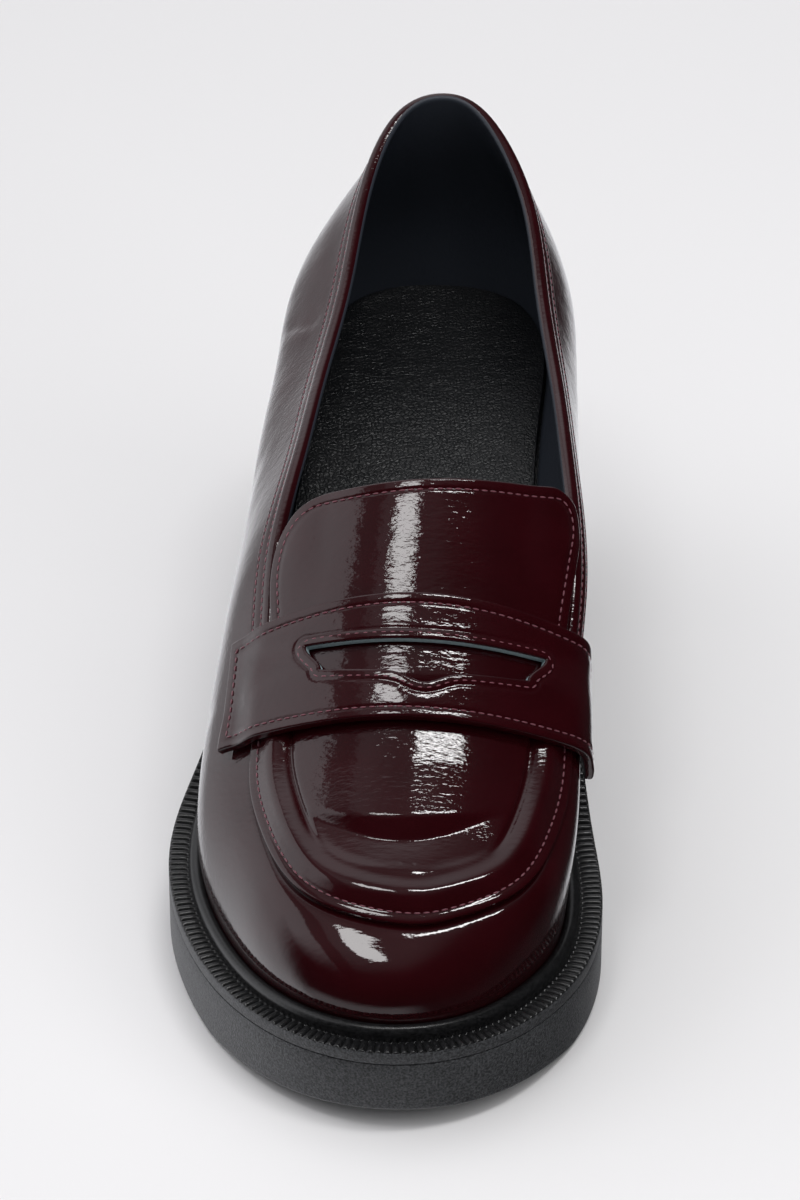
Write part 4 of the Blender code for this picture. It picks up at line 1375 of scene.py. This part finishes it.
def heel_loop(section, share):
    """A loop of the heel, between its foot at share 0 and the seat at share 1."""
    edge = np.column_stack([sole_outline(section, HEEL_INSET), section["under"]])
    half = len(edge) // 2
    last = int(np.argmax(edge[: half + 1, 1] > HEEL_BREAST)) - 1
    medial, lateral = edge[: last + 1], edge[: -last - 1 : -1]
    front = np.linspace(0, 1, 30)[1:-1, None]
    breast = medial[-1] * (1 - front) + lateral[-1] * front
    across, along, up = np.vstack([medial, breast, lateral[::-1]]).T
    fore = along.max() - HEEL_BREAST_RAKE * (1 - share)
    back = HEEL_BACK_RAKE * (1 - share) ** 1.3
    across = across * (HEEL_TAPER + (1 - HEEL_TAPER) * share**1.6)
    up = TOP_LIFT_THICK + GAP + share * (up - 2 * GAP - TOP_LIFT_THICK)
    return np.column_stack([across, back + along / along.max() * (fore - back), up])


class MESH_OT_loafer_heel(bpy.types.Operator):
    """The block heel and its top lift"""

    bl_idname = "mesh.loafer_heel"
    bl_label = "Heel"

    def execute(self, context):
        section = ring(ring_places((150, 20)))
        points, faces = capped([heel_loop(section, share) for share in np.linspace(0, 1, 15)])
        heel = grown("heel_block_lacquer", points, faces, ["heel_lacquer_black"])
        bevel = heel.modifiers.new("edges", "BEVEL")
        bevel.width = 0.5 * MM
        bevel.segments = 3
        bevel.limit_method = "ANGLE"
        bevel.angle_limit = math.radians(50)
        chosen(heel)
        bpy.ops.object.modifier_apply(modifier=bevel.name)
        settle(heel, "heel_plastic", "heel_block")
        foot = heel_loop(section, 0.0)
        loops = []
        for inset, height in LIFT_SIDE:
            loop = foot - np.column_stack([plan_normals(foot) * inset, foot[:, 2] - height])
            loops.append(loop)
        points, faces = capped(loops)
        lift = grown("top_lift_rubber", points, faces, ["lift_rubber_black"], sharp=35)
        settle(lift, "lift_rubber", "top_lift")
        return {"FINISHED"}


LIGHTS = table(
    "name place aim width height watts shape reflected",
    # Two soft boxes that the leather mirrors, and two wide fills that it doesn't.
    ("left_box", (-0.27, -0.38, 1.3), (-0.27, -0.38, 0), 0.31, 0.29, 2.0, "ELLIPSE", True),
    ("right_box", (0.24, -0.085, 1.3), (0.24, -0.085, 0), 0.48, 0.12, 3.9, "RECTANGLE", True),
    ("overhead_fill", (0.1, -0.2, 2.4), (0, 0, 0), 4.4, 4.4, 58.0, "RECTANGLE", False),
    ("side_fill", (1.5, -0.9, 0.8), (0, 0, 0), 1.4, 1.0, 6.5, "RECTANGLE", False),
)


def soft_light(light):
    """A softbox that looks at a point."""
    lamp = bpy.data.lights.new(light.name, "AREA")
    lamp.shape = light.shape
    lamp.size = light.width
    lamp.size_y = light.height
    lamp.energy = light.watts
    made = bpy.data.objects.new(light.name, lamp)
    bpy.context.scene.collection.objects.link(made)
    made.location = light.place
    made.rotation_euler = looking(light.place, light.aim)
    made.visible_glossy = light.reflected


def looking(place, aim):
    """The turn that points a lamp or camera from a place at another, kept upright."""
    run = np.array(aim, float) - np.array(place, float)
    flat = math.hypot(run[0], run[1])
    return math.atan2(flat, -run[2]), 0.0, math.atan2(-run[0], run[1])


def studio_surroundings(scene):
    """The room round the shoe: pale on its left and on the floor beyond it, half lit behind, dim
    overhead, and dark on the right and towards the camera, as black cards there make it."""
    world = bpy.data.worlds.new("studio_world")
    scene.world = world
    world.use_nodes = True
    tree = world.node_tree
    sky = tree.nodes["Background"]
    way = added(tree, "ShaderNodeTexCoord")
    split = added(tree, "ShaderNodeSeparateXYZ", {"Vector": way.outputs["Generated"]})

    def eased(axis, start, end, low, high):
        spans = {"Value": split.outputs[axis], "From Min": start, "From Max": end}
        spans.update({"To Min": low, "To Max": high})
        return added(tree, "ShaderNodeMapRange", spans, interpolation_type="SMOOTHSTEP").outputs["Result"]

    def combined(operation, total, *others):
        for other in others:
            total = added(tree, "ShaderNodeMath", {0: total, 1: other}, operation=operation).outputs["Value"]
        return total

    spans = {"Value": split.outputs["X"], "From Min": 0.0, "From Max": -1.0}
    across = added(tree, "ShaderNodeMapRange", spans)
    strips = added(tree, "ShaderNodeValToRGB", {"Fac": across.outputs["Result"]})
    ramp = strips.color_ramp.elements
    ramp[0].position, ramp[0].color = 0.12, (0.1, 0.1, 0.1, 1)
    ramp[1].position, ramp[1].color = 0.9, (1, 1, 1, 1)
    for place, value in ((0.34, 0.24), (0.42, 0.24), (0.445, 0.08), (0.585, 0.12), (0.61, 0.85)):
        ramp.new(place).color = (value, value, value, 1)
    aside = combined(
        "MULTIPLY",
        strips.outputs["Color"],
        eased("Y", 0.3, 0.75, 1.2, 0.5),
        eased("Z", 0.35, -0.1, 1.0, 1.2),
    )
    behind = combined(
        "MULTIPLY",
        eased("Y", 0.1, 0.42, 0.0, 0.8),
        eased("X", 0.4, -0.1, 0.03, 1.0),
        eased("X", -0.7, -0.4, 0.4, 1.0),
    )
    overhead = combined("MULTIPLY", eased("X", 0.3, 0.0, 0.0, 1.0), aside)
    steep = combined("MAXIMUM", eased("Y", -0.45, -0.1, 0.0, 1.0), eased("Z", 0.25, 0.6, 0.0, 1.0))
    room = combined("MAXIMUM", overhead, behind)
    room = combined("MULTIPLY", room, steep, eased("Y", -0.62, -0.25, 0.02, 1.0))
    ground = combined("MULTIPLY", eased("Z", -0.35, -0.6, 0.0, 0.7), eased("X", 0.5, 0.1, 0.04, 1.0))
    beyond = combined(
        "MULTIPLY",
        eased("Z", -0.25, -0.42, 0.0, 0.9),
        eased("Y", 0.5, 0.7, 0.0, 1.0),
        eased("X", 0.6, 0.3, 0.0, 1.0),
    )
    tree.links.new(combined("MAXIMUM", room, ground, beyond), sky.inputs["Strength"])
    sky.inputs["Color"].default_value = (*linear("#fbfbff"), 1)


CAMERA_PLACE = (0.0575, -1.0614, 0.7976)
CAMERA_AIM = (0.0005, 0.0, 0.055)
CAMERA_LENS = 170.0
CAMERA_SENSOR = 36.0
FLOOR_WIDTH = 14.0


class MESH_OT_loafer_stage(bpy.types.Operator):
    """The studio: a pale floor, soft lights and the camera"""

    bl_idname = "mesh.loafer_stage"
    bl_label = "Stage"

    def execute(self, context):
        scene = context.scene
        deselect_all()
        bpy.ops.mesh.primitive_plane_add(size=FLOOR_WIDTH, location=(0, 0, 0))
        floor = context.object
        floor.name = "studio_floor"
        values = {"Roughness": 0.8, "Specular IOR Level": 0.2}
        paper, _, _ = new_finish("studio_paper", colours().floor, values)
        floor.data.materials.append(paper)
        floor.visible_glossy = False
        scene.view_settings.view_transform = "Standard"
        studio_surroundings(scene)
        for light in LIGHTS:
            soft_light(light)
        lens = bpy.data.cameras.new("camera")
        lens.sensor_fit = "VERTICAL"
        lens.sensor_height = CAMERA_SENSOR
        lens.lens = CAMERA_LENS
        lens.clip_start = 0.05
        camera = bpy.data.objects.new("camera", lens)
        scene.collection.objects.link(camera)
        camera.location = CAMERA_PLACE
        camera.rotation_euler = looking(CAMERA_PLACE, CAMERA_AIM)
        scene.camera = camera
        return {"FINISHED"}


class VIEW3D_PT_loafer(bpy.types.Panel):
    """The colours, the sizes and the pieces of the shoe"""

    bl_label = "Loafer pump"
    bl_idname = "VIEW3D_PT_loafer"
    bl_space_type = "VIEW_3D"
    bl_region_type = "UI"
    bl_category = "Loafer"

    def draw(self, context):
        column = self.layout.column()
        for group in (context.scene.loafer_colours, context.scene.loafer_sizes):
            for name in group.__annotations__:
                column.prop(group, name)
        for operator in OPERATORS:
            column.operator(operator.bl_idname)


OPERATORS = (
    MESH_OT_loafer_stage,
    MESH_OT_loafer_outsole,
    MESH_OT_loafer_welt,
    MESH_OT_loafer_heel,
    MESH_OT_loafer_upper,
    MESH_OT_loafer_insole,
    MESH_OT_loafer_tongue,
    MESH_OT_loafer_strap,
)
CLASSES = (LoaferColours, LoaferSizes, *OPERATORS, VIEW3D_PT_loafer)


def register():
    """Adds the operators, the panel and the settings to Blender."""
    for kind in CLASSES:
        bpy.utils.register_class(kind)
    bpy.types.Scene.loafer_colours = PointerProperty(type=LoaferColours)
    bpy.types.Scene.loafer_sizes = PointerProperty(type=LoaferSizes)


def unregister():
    """Takes them out again."""
    del bpy.types.Scene.loafer_sizes
    del bpy.types.Scene.loafer_colours
    for kind in reversed(CLASSES):
        bpy.utils.unregister_class(kind)


def main():
    """Builds the stage and the shoe."""
    register()
    bpy.ops.mesh.loafer_stage()
    bpy.ops.mesh.loafer_outsole()
    bpy.ops.mesh.loafer_welt()
    bpy.ops.mesh.loafer_heel()
    bpy.ops.mesh.loafer_upper()
    bpy.ops.mesh.loafer_insole()
    bpy.ops.mesh.loafer_tongue()
    bpy.ops.mesh.loafer_strap()


if __name__ == "__main__":
    main()
